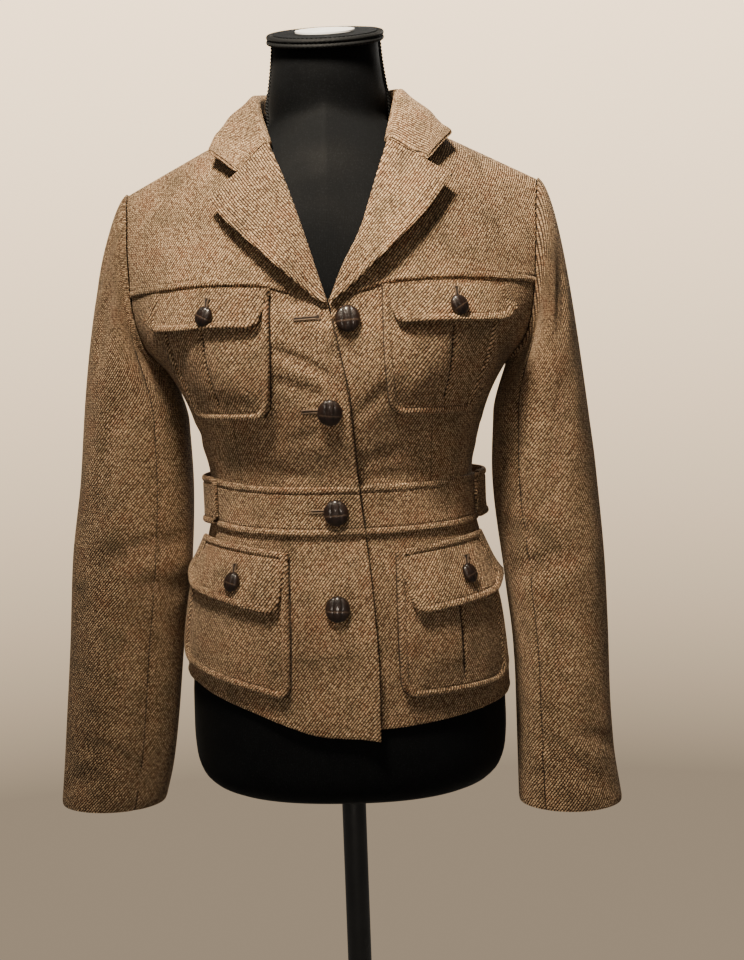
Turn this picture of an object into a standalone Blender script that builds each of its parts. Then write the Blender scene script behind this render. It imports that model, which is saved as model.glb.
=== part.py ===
# Utility jacket of brown twill on a limbless dress form with its stand.
# Metres, +Z up. The front faces -Y and +X is the wearer's left.
# Right and left are the wearer's; the right front laps over the left one.
import math

import bmesh
import bpy
import numpy as np
from mathutils import Matrix

ASSEMBLY_NAME = "utility_jacket_on_dress_form"

# Cloth walls and gaps
CLOTH = 0.0020
DOUBLE_CLOTH = 0.0026
SEAM = 0.0003
LAY = 0.0007
STEP = 1.0e-5
BODY_RADIUS = 0.10
SEAM_ANGLE = SEAM / 2.0 / BODY_RADIUS
SEAM_SHARES = np.array([0.08, 0.16, 0.26, 0.37, 0.48, 0.59, 0.69, 0.78, 0.86, 0.93, 1.0])
FRONT_ROW_COUNT, YOKE_ROW_COUNT, LAPEL_ROW_COUNT = 27, 12, 12
BACK_ROW_COUNT, BACK_SHOULDER_COLUMNS, COLLAR_COUNT = 25, 6, 29
BACK_NECK_SHARES = (0.95, 0.82, 0.60, 0.30, 0.0)
FRONT_SIDE_SHARE, BACK_SIDE_SHARE, ARMHOLE_CROWDING = 0.72, 0.54, 1.5
CREASE_ANGLE = math.radians(40.0)
CLOTH_ROUGHNESS, LEATHER_ROUGHNESS, COVER_ROUGHNESS = 0.9, 0.5, 0.85
TRIM_ROUGHNESS, CORE_ROUGHNESS, BASE_ROUGHNESS, POLE_ROUGHNESS = 0.7, 0.9, 0.45, 0.4

# Jacket body: outer face of the cloth at rising heights
BODY_COLUMNS = ("height", "half_width", "front_depth", "back_depth")
BODY_ROWS = (
    (0.740, 0.1530, 0.1140, 0.1120),
    (0.845, 0.1525, 0.1140, 0.1120),
    (0.885, 0.1505, 0.1130, 0.1110),
    (0.950, 0.1405, 0.1060, 0.1030),
    (0.994, 0.1275, 0.0980, 0.0890),
    (1.021, 0.1225, 0.0950, 0.0840),
    (1.050, 0.1225, 0.0960, 0.0830),
    (1.080, 0.1285, 0.1040, 0.0870),
    (1.113, 0.1385, 0.1120, 0.0930),
    (1.146, 0.1560, 0.1160, 0.0980),
    (1.170, 0.1780, 0.1160, 0.1020),
    (1.190, 0.1880, 0.1140, 0.1050),
    (1.217, 0.1965, 0.1100, 0.1080),
    (1.260, 0.2030, 0.1030, 0.1070),
    (1.320, 0.2050, 0.0940, 0.1000),
    (1.360, 0.2050, 0.0900, 0.0900),
    (1.420, 0.2050, 0.0830, 0.0780),
)
SQUARENESS = 2.3
NECK_POINT_X, NECK_POINT_Z = 0.060, 1.376
SHOULDER_TIP_X, SHOULDER_TIP_Z = 0.188, 1.3125
SHOULDER_SLOPE = (NECK_POINT_Z - SHOULDER_TIP_Z) / (SHOULDER_TIP_X - NECK_POINT_X)
FRONT_ROUNDING, BACK_ROUNDING = 0.160, 0.130
SHOULDER_SEAM_DROP = 8.0e-7
RIDGE_CROWDING = 1.8
YOKE_NECK_X, BACK_NECK_DIP = 0.0715, 0.018
BUST_X, BUST_Z, BUST_SPREAD, BUST_HEIGHT = 0.078, 1.150, 0.045, 0.009

# Armhole: angle of the seam from the centre line, front and back alike
ARMPIT_Z = 1.146
ARMHOLE_COLUMNS = ("height", "angle")
ARMHOLE_ROWS = (
    (1.146, 90.0),
    (1.150, 84.0),
    (1.158, 78.0),
    (1.170, 73.5),
    (1.190, 69.0),
    (1.217, 65.0),
    (1.250, 62.8),
    (1.280, 62.8),
    (1.3125, 65.0),
)

# Front yoke seam, from the centre front to the armhole
YOKE_COLUMNS = ("x", "height")
YOKE_ROWS = (
    (0.000, 1.2050),
    (0.030, 1.2100),
    (0.060, 1.2175),
    (0.110, 1.2195),
    (0.150, 1.2175),
    (0.185, 1.2145),
)

# Front edges below the yoke seam
EDGE_COLUMNS = ("height", "x")
RIGHT_EDGE_ROWS = (
    (0.815, 0.0330),
    (0.883, 0.0335),
    (0.949, 0.0300),
    (1.000, 0.0250),
    (1.050, 0.0205),
    (1.120, 0.0165),
    (1.160, 0.0095),
    (1.205, 0.0005),
)
LEFT_EDGE_ROWS = (
    (0.815, -0.0180),
    (1.160, -0.0180),
    (1.180, -0.0060),
    (1.192, 0.0040),
    (1.205, 0.0014),
)
LAP_LIFT = CLOTH + LAY
LAP_INNER_X, LAP_OUTER_X = -0.078, -0.040
LAP_FADE_LOW, LAP_FADE_HIGH = 1.189, 1.204

# Hem height round the body, by angle from the centre front
HEM_COLUMNS = ("angle", "height")
RIGHT_HEM_ROWS = (
    (-90.0, 0.868),
    (-62.0, 0.866),
    (-51.0, 0.861),
    (-30.0, 0.849),
    (-16.0, 0.838),
    (-4.0, 0.828),
    (11.0, 0.824),
)
LEFT_HEM_ROWS = (
    (-10.0, 0.834),
    (11.0, 0.833),
    (24.0, 0.835),
    (40.0, 0.838),
    (61.0, 0.841),
    (90.0, 0.842),
)
BACK_HEM_ROWS = ((90.0, 0.842), (180.0, 0.856), (270.0, 0.868))

# Lapels: fold line and free edge, from the break point up to the gorge
LAPEL_COLUMNS = ("share", "fold_x", "fold_z", "edge_x", "edge_z")
RIGHT_LAPEL_ROWS = (
    (0.00, 0.0015, 1.2010, -0.0060, 1.2020),
    (0.15, -0.0048, 1.2210, -0.0215, 1.2150),
    (0.45, -0.0190, 1.2670, -0.0510, 1.2420),
    (0.75, -0.0330, 1.3070, -0.0820, 1.2710),
    (1.00, -0.0470, 1.3400, -0.0960, 1.2885),
)
LEFT_LAPEL_ROWS = (
    (0.00, 0.0030, 1.2030, 0.0105, 1.2045),
    (0.15, 0.0120, 1.2270, 0.0310, 1.2220),
    (0.45, 0.0300, 1.2630, 0.0620, 1.2500),
    (0.75, 0.0430, 1.3050, 0.0890, 1.2790),
    (1.00, 0.0530, 1.3385, 0.1050, 1.3025),
)
RIGHT_NOTCH, LEFT_NOTCH = (-0.0730, 1.3130), (0.0850, 1.3175)
RIGHT_COLLAR_CORNER, LEFT_COLLAR_CORNER = (-0.0980, 1.3310), (0.1060, 1.3400)
FOLD_RADIUS, FOLD_RADIUS_AT_BREAK = 0.0040, 0.0024
LAPEL_LIFT = 0.0095
BREAK_LIFT, BREAK_FADE = CLOTH + 2.0 * LAY, 0.15
FOLD_SEAM = 0.0009
GORGE_GAP = 0.0005
TURN_ANGLES = np.radians(np.array([-90.0, -50.0, -10.0, 40.0, 90.0]))
FACE_SHARES = np.array([0.17, 0.36, 0.56, 0.78, 1.0])
FOLD_OPENING, LAPEL_OPENING = 0.35, 0.30
NOTCH_FROM, NOTCH_SHARE = 0.80, 0.56
YOKE_CORNER_RISE, YOKE_NECK_TURN, FOLD_SAMPLES = 0.002, 0.035, 60

# Collar behind the gorge: stand, fold and free edge, from the centre back forward
COLLAR_COLUMNS = ("stand_x", "stand_y", "seam_z", "fold_z", "edge_x", "edge_z", "edge_side")
FRONT, BACK = -1.0, 1.0
COLLAR_ROWS = (
    (0.0000, 0.0640, 1.3760, 1.4060, 0.0000, 1.3520, BACK),
    (0.0370, 0.0520, 1.3770, 1.4050, 0.0560, 1.3500, BACK),
    (0.0600, 0.0160, 1.3810, 1.4000, 0.0960, 1.3520, BACK),
    (0.0615, -0.0200, 1.3760, 1.3870, 0.1040, 1.3490, FRONT),
)
RIGHT_COLLAR_SPREAD, LEFT_COLLAR_SPREAD = 0.90, 0.97
COLLAR_EDGE_LIFT = 0.0080
COLLAR_FALL_BULGE = 0.0020
COLLAR_STAND_SHARES, COLLAR_FALL_SHARES = (0.0, 0.5), (0.17, 0.56, 0.78, 1.0)
COLLAR_TURN_ANGLES = np.radians(np.array([0.0, 45.0, 90.0, 135.0]))

# Sleeves: rings from the upper arm to the cuff
SLEEVE_COLUMNS = ("height", "inner_x", "outer_x", "centre_y", "half_depth")
RIGHT_SLEEVE_ROWS = (
    (0.742, 0.1810, 0.2765, -0.018, 0.0370),
    (0.775, 0.1730, 0.2735, -0.014, 0.0390),
    (0.817, 0.1670, 0.2700, -0.010, 0.0420),
    (0.892, 0.1590, 0.2635, -0.004, 0.0470),
    (0.973, 0.1480, 0.2575, 0.001, 0.0520),
    (1.049, 0.1445, 0.2460, 0.004, 0.0550),
    (1.100, 0.1460, 0.2400, 0.004, 0.0560),
)
LEFT_SLEEVE_ROWS = (
    (0.735, 0.1600, 0.2525, -0.018, 0.0370),
    (0.788, 0.1600, 0.2460, -0.012, 0.0400),
    (0.845, 0.1600, 0.2440, -0.007, 0.0440),
    (0.880, 0.1590, 0.2440, -0.004, 0.0460),
    (0.942, 0.1530, 0.2430, 0.000, 0.0500),
    (1.047, 0.1435, 0.2360, 0.004, 0.0550),
    (1.100, 0.1460, 0.2300, 0.004, 0.0560),
)
UPPER_ARM_Z = 1.100
FRONT_SLEEVE_SEAM, BACK_SLEEVE_SEAM = 0.343, 0.690
CAP_REACH, UNDERARM_REACH = 0.018, 0.009
UNDERARM_TURN = 0.9
SLEEVE_SEAM, ARMHOLE_SEAM = 0.0009, 0.0008
CAP_TOP_SLOPE, CAP_TOP_POWER, UNDERARM_POWER = 0.70, 3, 4
CAP_FALL, UNDERARM_FALL = 0.52, 0.40
FALL_STEP = 0.010
CAP_RINGS, TUBE_RINGS = 9, 12
UPPER_SLEEVE_COLUMNS, UNDER_SLEEVE_COLUMNS = 13, 8
SMALL_TURN = 1.0e-3

# Patch pockets: edges at the top, middle and bottom; signs give the side
POCKET_COLUMNS = ("share", "height", "inner_x", "outer_x")
CHEST_POCKET_ROWS = (
    (0.0, 1.2130, 0.0480, 0.1490),
    (0.5, 1.1600, 0.0480, 0.1410),
    (1.0, 1.1060, 0.0500, 0.1230),
)
RIGHT_HIP_POCKET_ROWS = (
    (0.0, 0.9840, 0.0415, 0.1240),
    (0.5, 0.9250, 0.0415, 0.1400),
    (1.0, 0.8600, 0.0425, 0.1460),
)
LEFT_HIP_POCKET_ROWS = (
    (0.0, 0.9840, 0.0515, 0.1240),
    (0.5, 0.9250, 0.0515, 0.1400),
    (1.0, 0.8600, 0.0525, 0.1460),
)
CHEST_POCKET_BULGE, HIP_POCKET_BULGE = 0.0050, 0.0060
POCKET_CORNER = 0.014
RIGHT_HIP_RISE = 0.026
PLEAT_SHARE, PLEAT_DEPTH, PLEAT_WIDTH, PLEAT_STEP = 0.58, 0.0016, 0.0040, 0.045
PLEAT_TOP, PLEAT_END = (0.25, 0.40), (0.80, 0.95)
POCKET_FULLNESS = 0.7
POCKET_ACROSS = np.array([0.0, 0.035, 0.12, 0.25, 0.38, PLEAT_SHARE - PLEAT_STEP, PLEAT_SHARE,
                          PLEAT_SHARE + PLEAT_STEP, 0.72, 0.86, 0.96, 1.0])
POCKET_ROW_COUNT = 8

# Pocket flaps: upper and lower corners, and the button's place across and down each
FLAP_COLUMNS = ("top_inner_x", "top_inner_z", "top_outer_x", "top_outer_z", "low_inner_x", "low_inner_z",
                "low_outer_x", "low_outer_z", "button_across", "button_down")
RIGHT_CHEST_FLAP = (0.0465, 1.2140, 0.1500, 1.2130, 0.0540, 1.1780, 0.1560, 1.1840, 0.46, 0.68)
LEFT_CHEST_FLAP = (0.0470, 1.2140, 0.1500, 1.2130, 0.0560, 1.1780, 0.1560, 1.1840, 0.54, 0.60)
RIGHT_HIP_FLAP = (0.0405, 0.9870, 0.1205, 0.9980, 0.0485, 0.9330, 0.1370, 0.9530, 0.48, 0.64)
LEFT_HIP_FLAP = (0.0500, 0.9865, 0.1230, 0.9945, 0.0615, 0.9310, 0.1395, 0.9400, 0.66, 0.58)
FLAP_CORNER = 0.013
FLAP_STAND_OFF = 0.0012
FLAP_ACROSS = np.array([0.0, 0.03, 0.09, 0.20, 0.34, 0.48, 0.62, 0.76, 0.89, 0.97, 1.0])
FLAP_ROW_COUNT = 5

# Belt round the waist
BELT_LOW, BELT_HIGH = 1.0010, 1.0445
BELT_LIFT = LAY + DOUBLE_CLOTH
BELT_RISE_COLUMNS = ("angle", "rise")
BELT_RISE_ROWS = (
    (-62.0, 0.0065),
    (-30.0, 0.0016),
    (0.0, 0.0),
    (45.0, 0.0008),
    (80.0, 0.0025),
    (180.0, 0.0040),
    (298.0, 0.0065),
)
RIGHT_TAB_ANGLE, LEFT_TAB_ANGLE = -62.0, 80.0
RIGHT_BELT_BULGE, LEFT_BELT_BULGE, BACK_BELT_BULGE_SPREAD = 0.0010, 0.0060, 26.0
BACK_BELT_OVERLAP = 5.0
BACK_BELT_EASE = 0.0006
BACK_BELT_LOW_RISE, BACK_BELT_HIGH_RISE = 0.001, 0.002
BACK_BELT_STEP_FROM, BACK_BELT_STEP_TO = 9.0, 45.0
BACK_BELT_BULGE_ANGLE, BACK_BELT_FLAT_END = 22.0, 14.0
BELT_ROW_COUNT, FRONT_BELT_COLUMNS, BACK_BELT_COLUMNS = 4, 13, 31

# Buttons: name, x, height and lift of the cloth below each front button
FRONT_BUTTON_RADIUS, FLAP_BUTTON_RADIUS = 0.0115, 0.0090
BUTTON_THICKNESS = 0.0070
BUTTON_SEGMENTS = 12
BUTTON_DOME, BUTTON_PROFILE, BUTTON_DOME_STEPS, BUTTON_REACH = 0.72, 0.55, 2, 0.6
BUTTON_SEAT = 0.0007
FRONT_BUTTONS = (
    ("front_button_1", 0.0180, 1.1870, 0.0),
    ("front_button_2", 0.0000, 1.1100, LAP_LIFT),
    ("front_button_3", 0.0010, 1.0220, LAP_LIFT + BELT_LIFT),
    ("front_button_4", 0.0000, 0.9390, LAP_LIFT),
)

# Dress form
FORM_CLEARANCE_COLUMNS = ("height", "clearance", "at_side")
FORM_CLEARANCE_ROWS = (
    (0.740, 0.0035, 0.0),
    (0.850, 0.0048, 0.0),
    (0.900, 0.0065, 0.0),
    (1.020, 0.0060, 0.0),
    (1.100, 0.0080, 0.0),
    (1.140, 0.0110, 0.0),
    (1.180, 0.0110, 0.0),
    (1.215, 0.0065, 0.002),
    (1.250, 0.0048, 0.006),
    (1.290, 0.0033, 0.014),
    (1.320, 0.0022, 0.016),
    (1.420, 0.0022, 0.016),
)
SIDE_POWER = 6
FORM_HEIGHTS = (0.764, 0.774, 0.790, 0.815, 0.850, 0.890, 0.930, 0.965, 0.995, 1.020, 1.050, 1.080, 1.110,
                1.140, 1.165, 1.190, 1.220, 1.250, 1.280, 1.300, 1.316, 1.330, 1.343, 1.356, 1.370, 1.385,
                1.405, 1.428, 1.450)
FORM_BOTTOM_Z = 0.760
FORM_BOTTOM_COLUMNS = ("height", "scale")
FORM_BOTTOM_ROWS = ((0.760, 0.84), (0.764, 0.895), (0.774, 0.955), (0.790, 0.988), (0.815, 1.0), (1.450, 1.0))
NECK_COLUMNS = ("height", "half_width", "half_depth", "centre_y")
NECK_ROWS = (
    (1.300, 0.0520, 0.0480, 0.008),
    (1.343, 0.0530, 0.0500, 0.006),
    (1.385, 0.0550, 0.0515, 0.002),
    (1.405, 0.0515, 0.0500, -0.002),
    (1.428, 0.0485, 0.0480, -0.005),
    (1.450, 0.0472, 0.0465, -0.008),
)
NECK_BLEND = 20.0
NECK_TILT_FROM, NECK_TOP_Z = 1.385, 1.450
NECK_TILT = math.radians(20.0)
FORM_SEGMENTS = 28
FORM_SHOULDER_DROP, FORM_DROP_FROM, FORM_DROP_TO = 0.0029, 1.24, 1.30
SEARCH_RADIUS, SEARCH_STEPS, LEAST_RADIUS = 0.30, 40, 0.001
TRIM_HALF_HEIGHT, TRIM_HALF_THICKNESS, TRIM_SECTION = 0.0042, 0.0026, 8
TRIM_GAP, TRIM_TOP_DROP, TRIM_READ_DROP = 0.0009, 0.0005, 0.006
CORE_HALF_WIDTH, CORE_HALF_DEPTH, CORE_THICKNESS = 0.0270, 0.0240, 0.0016
POLE_RADIUS = 0.0115
BASE_RADIUS, BASE_RIM, BASE_RISE, BASE_BOSS_RADIUS = 0.170, 0.010, 0.012, 0.022
BASE_SEGMENTS, POLE_SEGMENTS, CORE_SEGMENTS = 32, 24, 24

# Colours read from the photo, as linear values
TWEED = (0.150, 0.098, 0.060, 1.0)
LEATHER = (0.045, 0.024, 0.015, 1.0)
BLACK_COVER = (0.010, 0.010, 0.012, 1.0)
WHITE_CORE = (0.800, 0.800, 0.790, 1.0)
BLACK_METAL = (0.012, 0.012, 0.013, 1.0)

RIGHT, LEFT = -1.0, 1.0


def column(rows, columns, name, at):
    """Smooth value of a table's named column at the given first-column value."""
    table = np.array(rows, dtype=float)
    keys, values = table[:, 0], table[:, columns.index(name)]
    widths = np.diff(keys)
    slopes = np.diff(values) / widths
    tangents = np.empty(len(keys))
    tangents[0], tangents[-1] = slopes[0], slopes[-1]
    product = slopes[:-1] * slopes[1:]
    total = slopes[:-1] + slopes[1:]
    safe_total = np.where(np.abs(total) > 0, total, 1.0)
    tangents[1:-1] = np.where(product > 0, 2.0 * product / safe_total, 0.0)
    at = np.clip(at, keys[0], keys[-1])
    k = np.clip(np.searchsorted(keys, at) - 1, 0, len(keys) - 2)
    share = (at - keys[k]) / widths[k]
    rest = 1.0 - share
    near = (1.0 + 2.0 * share) * values[k] + share * widths[k] * tangents[k]
    far = (3.0 - 2.0 * share) * values[k + 1] - rest * widths[k] * tangents[k + 1]
    return rest ** 2 * near + share ** 2 * far


def ease(low, high, value):
    """Smooth step from 0 at low to 1 at high."""
    share = np.clip((value - low) / (high - low), 0.0, 1.0)
    return share * share * (3.0 - 2.0 * share)


def signed_power(value, power):
    return np.sign(value) * np.abs(value) ** power


def ridge_height(x):
    """Height of the shoulder line at a distance from the centre."""
    return NECK_POINT_Z - SHOULDER_SLOPE * (np.abs(x) - NECK_POINT_X)


def rounding(depth_below_ridge, reach):
    """Share of the full depth reached below the shoulder line."""
    rest = 1.0 - np.clip(depth_below_ridge / reach, 0.0, 1.0)
    return np.sqrt(1.0 - rest ** 2)


def body_depth(x, height, front):
    """Full front or back depth with the shoulder's rounding, before the side curve."""
    bust = BUST_HEIGHT * np.exp(-((np.abs(x) - BUST_X) / BUST_SPREAD) ** 2
                                - ((height - BUST_Z) / BUST_SPREAD) ** 2)
    below = ridge_height(x) - height
    full_depth = np.where(front, column(BODY_ROWS, BODY_COLUMNS, "front_depth", height) + bust,
                          column(BODY_ROWS, BODY_COLUMNS, "back_depth", height))
    return full_depth * rounding(below, np.where(front, FRONT_ROUNDING, BACK_ROUNDING))


def bare_point(angle, height):
    """Point of the jacket's outer face at an angle from the centre front."""
    power = 2.0 / SQUARENESS
    x = column(BODY_ROWS, BODY_COLUMNS, "half_width", height) * signed_power(np.sin(angle), power)
    toward_front = np.cos(angle)
    y = -body_depth(x, height, toward_front > 0.0) * signed_power(toward_front, power)
    return np.stack([x, y, height + 0.0 * x], axis=-1)


def body_point(angle, height, lift=0.0):
    """Point of the outer face moved out along the face's normal."""
    angle, height = np.asarray(angle, dtype=float), np.asarray(height, dtype=float)
    along = bare_point(angle + STEP, height) - bare_point(angle - STEP, height)
    upward = bare_point(angle, height + STEP) - bare_point(angle, height - STEP)
    normal = np.cross(along, upward)
    normal /= np.linalg.norm(normal, axis=-1, keepdims=True)
    return bare_point(angle, height) + normal * np.asarray(lift)[..., None]


def angle_at(x, height):
    """Angle of the front face's point at a distance from the centre."""
    share = np.clip(np.abs(x) / column(BODY_ROWS, BODY_COLUMNS, "half_width", height), 0.0, 1.0)
    return np.sign(x) * np.arcsin(share ** (SQUARENESS / 2.0))


def x_at(angle, height):
    return bare_point(np.asarray(angle, dtype=float), np.asarray(height, dtype=float))[..., 0]


def patch(bottom, top, start, end):
    """Fill a grid between four edge curves, each an array of (angle, height)."""
    across = np.linspace(0.0, 1.0, len(bottom))[None, :, None]
    up = np.linspace(0.0, 1.0, len(start))[:, None, None]
    ruled = (1.0 - up) * bottom[None] + up * top[None]
    ruled = ruled + (1.0 - across) * start[:, None] + across * end[:, None]
    corners = ((1.0 - up) * ((1.0 - across) * bottom[0] + across * bottom[-1])
               + up * ((1.0 - across) * top[0] + across * top[-1]))
    return ruled - corners


def new_material(name, colour, roughness):
    material = bpy.data.materials.new(name)
    material.use_nodes = True
    shader = material.node_tree.nodes["Principled BSDF"]
    shader.inputs["Base Color"].default_value = colour
    shader.inputs["Roughness"].default_value = roughness
    return material


def finish(name, mesh_edit, colour, roughness):
    """Turn an edited mesh into a named, smoothly shaded part with its own material."""
    bmesh.ops.recalc_face_normals(mesh_edit, faces=mesh_edit.faces)
    mesh = bpy.data.meshes.new(name)
    mesh_edit.to_mesh(mesh)
    mesh_edit.free()
    mesh.shade_smooth()
    mesh.set_sharp_from_angle(angle=CREASE_ANGLE)
    mesh.materials.append(new_material(name, colour, roughness))
    part = bpy.data.objects.new(name, mesh)
    assembly.objects.link(part)
    return part


def cloth_wall(name, outer, inner):
    """Closed wall between an outer and an inner grid of points."""
    rows, columns = outer.shape[0], outer.shape[1]
    edit = bmesh.new()
    bmesh.ops.create_grid(edit, x_segments=columns - 1, y_segments=rows - 1, size=1.0)
    order = edit.verts.layers.int.new("order")
    edit.verts.ensure_lookup_table()
    for index, vertex in enumerate(edit.verts):
        vertex[order] = index
        vertex.co = outer[index // columns, index % columns]
    raised = bmesh.ops.extrude_face_region(edit, geom=edit.faces[:], use_keep_orig=True)
    for item in raised["geom"]:
        if isinstance(item, bmesh.types.BMVert):
            item.co = inner[item[order] // columns, item[order] % columns]
    return finish(name, edit, TWEED, CLOTH_ROUGHNESS)


def body_panel(name, grid, lift, thickness):
    """Wall over a grid of body angles and heights, its outer face moved out by lift."""
    angle, height = grid[..., 0], grid[..., 1]
    lift = lift + 0.0 * angle
    return cloth_wall(name, body_point(angle, height, lift), body_point(angle, height, lift - thickness))


def armhole_angle(height):
    return np.radians(column(ARMHOLE_ROWS, ARMHOLE_COLUMNS, "angle", height))


def side_edge(low, high, side, count):
    """Side seam from the hem to the armpit, then the front armhole up to a height."""
    share = np.linspace(0.0, 1.0, count)
    lower = low + (ARMPIT_Z - low) * np.clip(share / FRONT_SIDE_SHARE, 0.0, 1.0)
    reach = np.clip((share - FRONT_SIDE_SHARE) / (1.0 - FRONT_SIDE_SHARE), 0.0, 1.0)
    height = lower + (high - ARMPIT_Z) * reach ** ARMHOLE_CROWDING
    angle = np.where(share <= FRONT_SIDE_SHARE, math.pi / 2.0, armhole_angle(height))
    return np.stack([side * (angle - SEAM_ANGLE), height], axis=-1)


def yoke_seam(side, shares):
    """Yoke seam from the centre front to the armhole as (angle, height)."""
    armhole_z = YOKE_ROWS[-1][1]
    far_x = float(x_at(armhole_angle(armhole_z), armhole_z))
    x = shares * far_x
    height = column(YOKE_ROWS, YOKE_COLUMNS, "height", x)
    return np.stack([side * angle_at(x, height), height], axis=-1)


def front_edge(rows, heights):
    x = column(rows, EDGE_COLUMNS, "x", heights)
    return np.stack([angle_at(x, heights), heights], axis=-1)


def hem_height(rows, angle):
    return column(rows, HEM_COLUMNS, "height", np.degrees(angle))


def lap_lift(grid):
    """Lift of the right front where it lies on the left front."""
    x = x_at(grid[..., 0], grid[..., 1])
    faded = 1.0 - ease(LAP_FADE_LOW, LAP_FADE_HIGH, grid[..., 1])
    return LAP_LIFT * ease(LAP_INNER_X, LAP_OUTER_X, x) * faded


def front_grid(side, edge_rows, hem_rows):
    """Angles and heights over one front, from its front edge to the side seam."""
    rows = FRONT_ROW_COUNT
    columns = len(SEAM_SHARES) + 1
    edge_top = front_edge(edge_rows, np.array([YOKE_ROWS[0][1]]))
    top = np.concatenate([edge_top, yoke_seam(side, SEAM_SHARES)])
    top[:, 1] -= SEAM / 2.0
    low_z = hem_rows[-1][1] if side == RIGHT else hem_rows[0][1]
    start = front_edge(edge_rows, np.linspace(low_z, top[0, 1], rows))
    start[-1] = top[0]
    side_low = float(hem_height(hem_rows, side * math.pi / 2.0))
    end = side_edge(side_low, top[-1, 1], side, rows)
    end[-1, 0] = top[-1, 0]
    bottom_angle = np.linspace(start[0, 0], end[0, 0], columns)
    bottom = np.stack([bottom_angle, hem_height(hem_rows, bottom_angle)], axis=-1)
    start[0], end[0] = bottom[0], bottom[-1]
    return patch(bottom, top, start, end)


def lapel_line(rows, name, shares):
    return column(rows, LAPEL_COLUMNS, name, shares)


def fold_radius(shares):
    return FOLD_RADIUS_AT_BREAK + (FOLD_RADIUS - FOLD_RADIUS_AT_BREAK) * ease(0.0, FOLD_OPENING, shares)


def yoke_grid(side, lapel_rows):
    """Angles and heights over a front yoke, clear of the lapel's fold."""
    columns = len(SEAM_SHARES) + 1
    shares = np.linspace(0.0, 1.0, YOKE_ROW_COUNT)
    rise = 1.0 - (1.0 - shares) ** RIDGE_CROWDING
    neck_z = ridge_height(YOKE_NECK_X) - SHOULDER_SEAM_DROP
    corner_z = YOKE_ROWS[0][1] + YOKE_CORNER_RISE
    start_z = corner_z + (neck_z - corner_z) * rise
    samples = np.linspace(0.0, 1.0, FOLD_SAMPLES)
    fold_share = np.interp(start_z, lapel_line(lapel_rows, "fold_z", samples), samples)
    start_x = lapel_line(lapel_rows, "fold_x", fold_share) + side * (fold_radius(fold_share) + FOLD_SEAM)
    above = ease(lapel_rows[-1][2] - YOKE_NECK_TURN, neck_z, start_z)
    start_x = start_x + (side * YOKE_NECK_X - start_x) * above
    start = np.stack([angle_at(start_x, start_z), start_z], axis=-1)
    bottom = np.concatenate([start[:1], yoke_seam(side, SEAM_SHARES)])
    bottom[:, 1] += SEAM / 2.0
    start[0] = bottom[0]
    tip_z = SHOULDER_TIP_Z - SHOULDER_SEAM_DROP
    top_x = np.linspace(YOKE_NECK_X, float(x_at(armhole_angle(tip_z), tip_z)), columns)
    top_z = ridge_height(top_x) - SHOULDER_SEAM_DROP
    top = np.stack([side * angle_at(top_x, top_z), top_z], axis=-1)
    end_z = bottom[-1, 1] + (top[-1, 1] - bottom[-1, 1]) * rise
    end = np.stack([side * (armhole_angle(end_z) - SEAM_ANGLE), end_z], axis=-1)
    bottom[-1], top[-1] = end[0], end[-1]
    top[0] = start[-1]
    return patch(bottom, top, start, end)


def back_grid():
    """Angles and heights over the whole back, from the left side seam to the right."""
    shares = np.linspace(0.0, 1.0, BACK_ROW_COUNT)
    armhole_rise = SHOULDER_TIP_Z - SHOULDER_SEAM_DROP - ARMPIT_Z
    sides = []
    for side, low in ((LEFT, BACK_HEM_ROWS[0][1]), (RIGHT, BACK_HEM_ROWS[-1][1])):
        rising = low + (ARMPIT_Z - low) * np.clip(shares / BACK_SIDE_SHARE, 0.0, 1.0)
        reach = np.clip((shares - BACK_SIDE_SHARE) / (1.0 - BACK_SIDE_SHARE), 0.0, 1.0)
        height = rising + armhole_rise * (1.0 - (1.0 - reach) ** RIDGE_CROWDING)
        angle = np.where(shares <= BACK_SIDE_SHARE, math.pi / 2.0, armhole_angle(height)) - SEAM_ANGLE
        sides.append(np.stack([math.pi - side * angle, height], axis=-1))
    start, end = sides
    tip_x = float(x_at(math.pi - start[-1, 0], start[-1, 1]))
    half_x = np.concatenate([np.linspace(tip_x, YOKE_NECK_X, BACK_SHOULDER_COLUMNS),
                             YOKE_NECK_X * np.array(BACK_NECK_SHARES)])
    top_x = np.concatenate([half_x, -half_x[-2::-1]])
    neck_dip = BACK_NECK_DIP * (1.0 - ease(0.0, YOKE_NECK_X, np.abs(top_x)))
    top_z = np.minimum(ridge_height(top_x), ridge_height(YOKE_NECK_X)) - SHOULDER_SEAM_DROP - neck_dip
    top = np.stack([math.pi - angle_at(top_x, top_z), top_z], axis=-1)
    bottom_angle = np.linspace(start[0, 0], end[0, 0], len(top_x))
    bottom = np.stack([bottom_angle, hem_height(BACK_HEM_ROWS, bottom_angle)], axis=-1)
    start[0], end[0], start[-1], end[-1] = bottom[0], bottom[-1], top[0], top[-1]
    return patch(bottom, top, start, end)


def lapel_grids(side, lapel_rows, notch):
    """Outer and inner points of a lapel: a rolled fold, then the turned-back face."""
    shares = np.linspace(0.0, 1.0, LAPEL_ROW_COUNT)[:, None]
    fold_x, fold_z = lapel_line(lapel_rows, "fold_x", shares), lapel_line(lapel_rows, "fold_z", shares)
    edge_x, edge_z = lapel_line(lapel_rows, "edge_x", shares), lapel_line(lapel_rows, "edge_z", shares)
    return folded_grids(side, fold_x, fold_z, edge_x, edge_z, fold_radius(shares), notch, shares)


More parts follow.
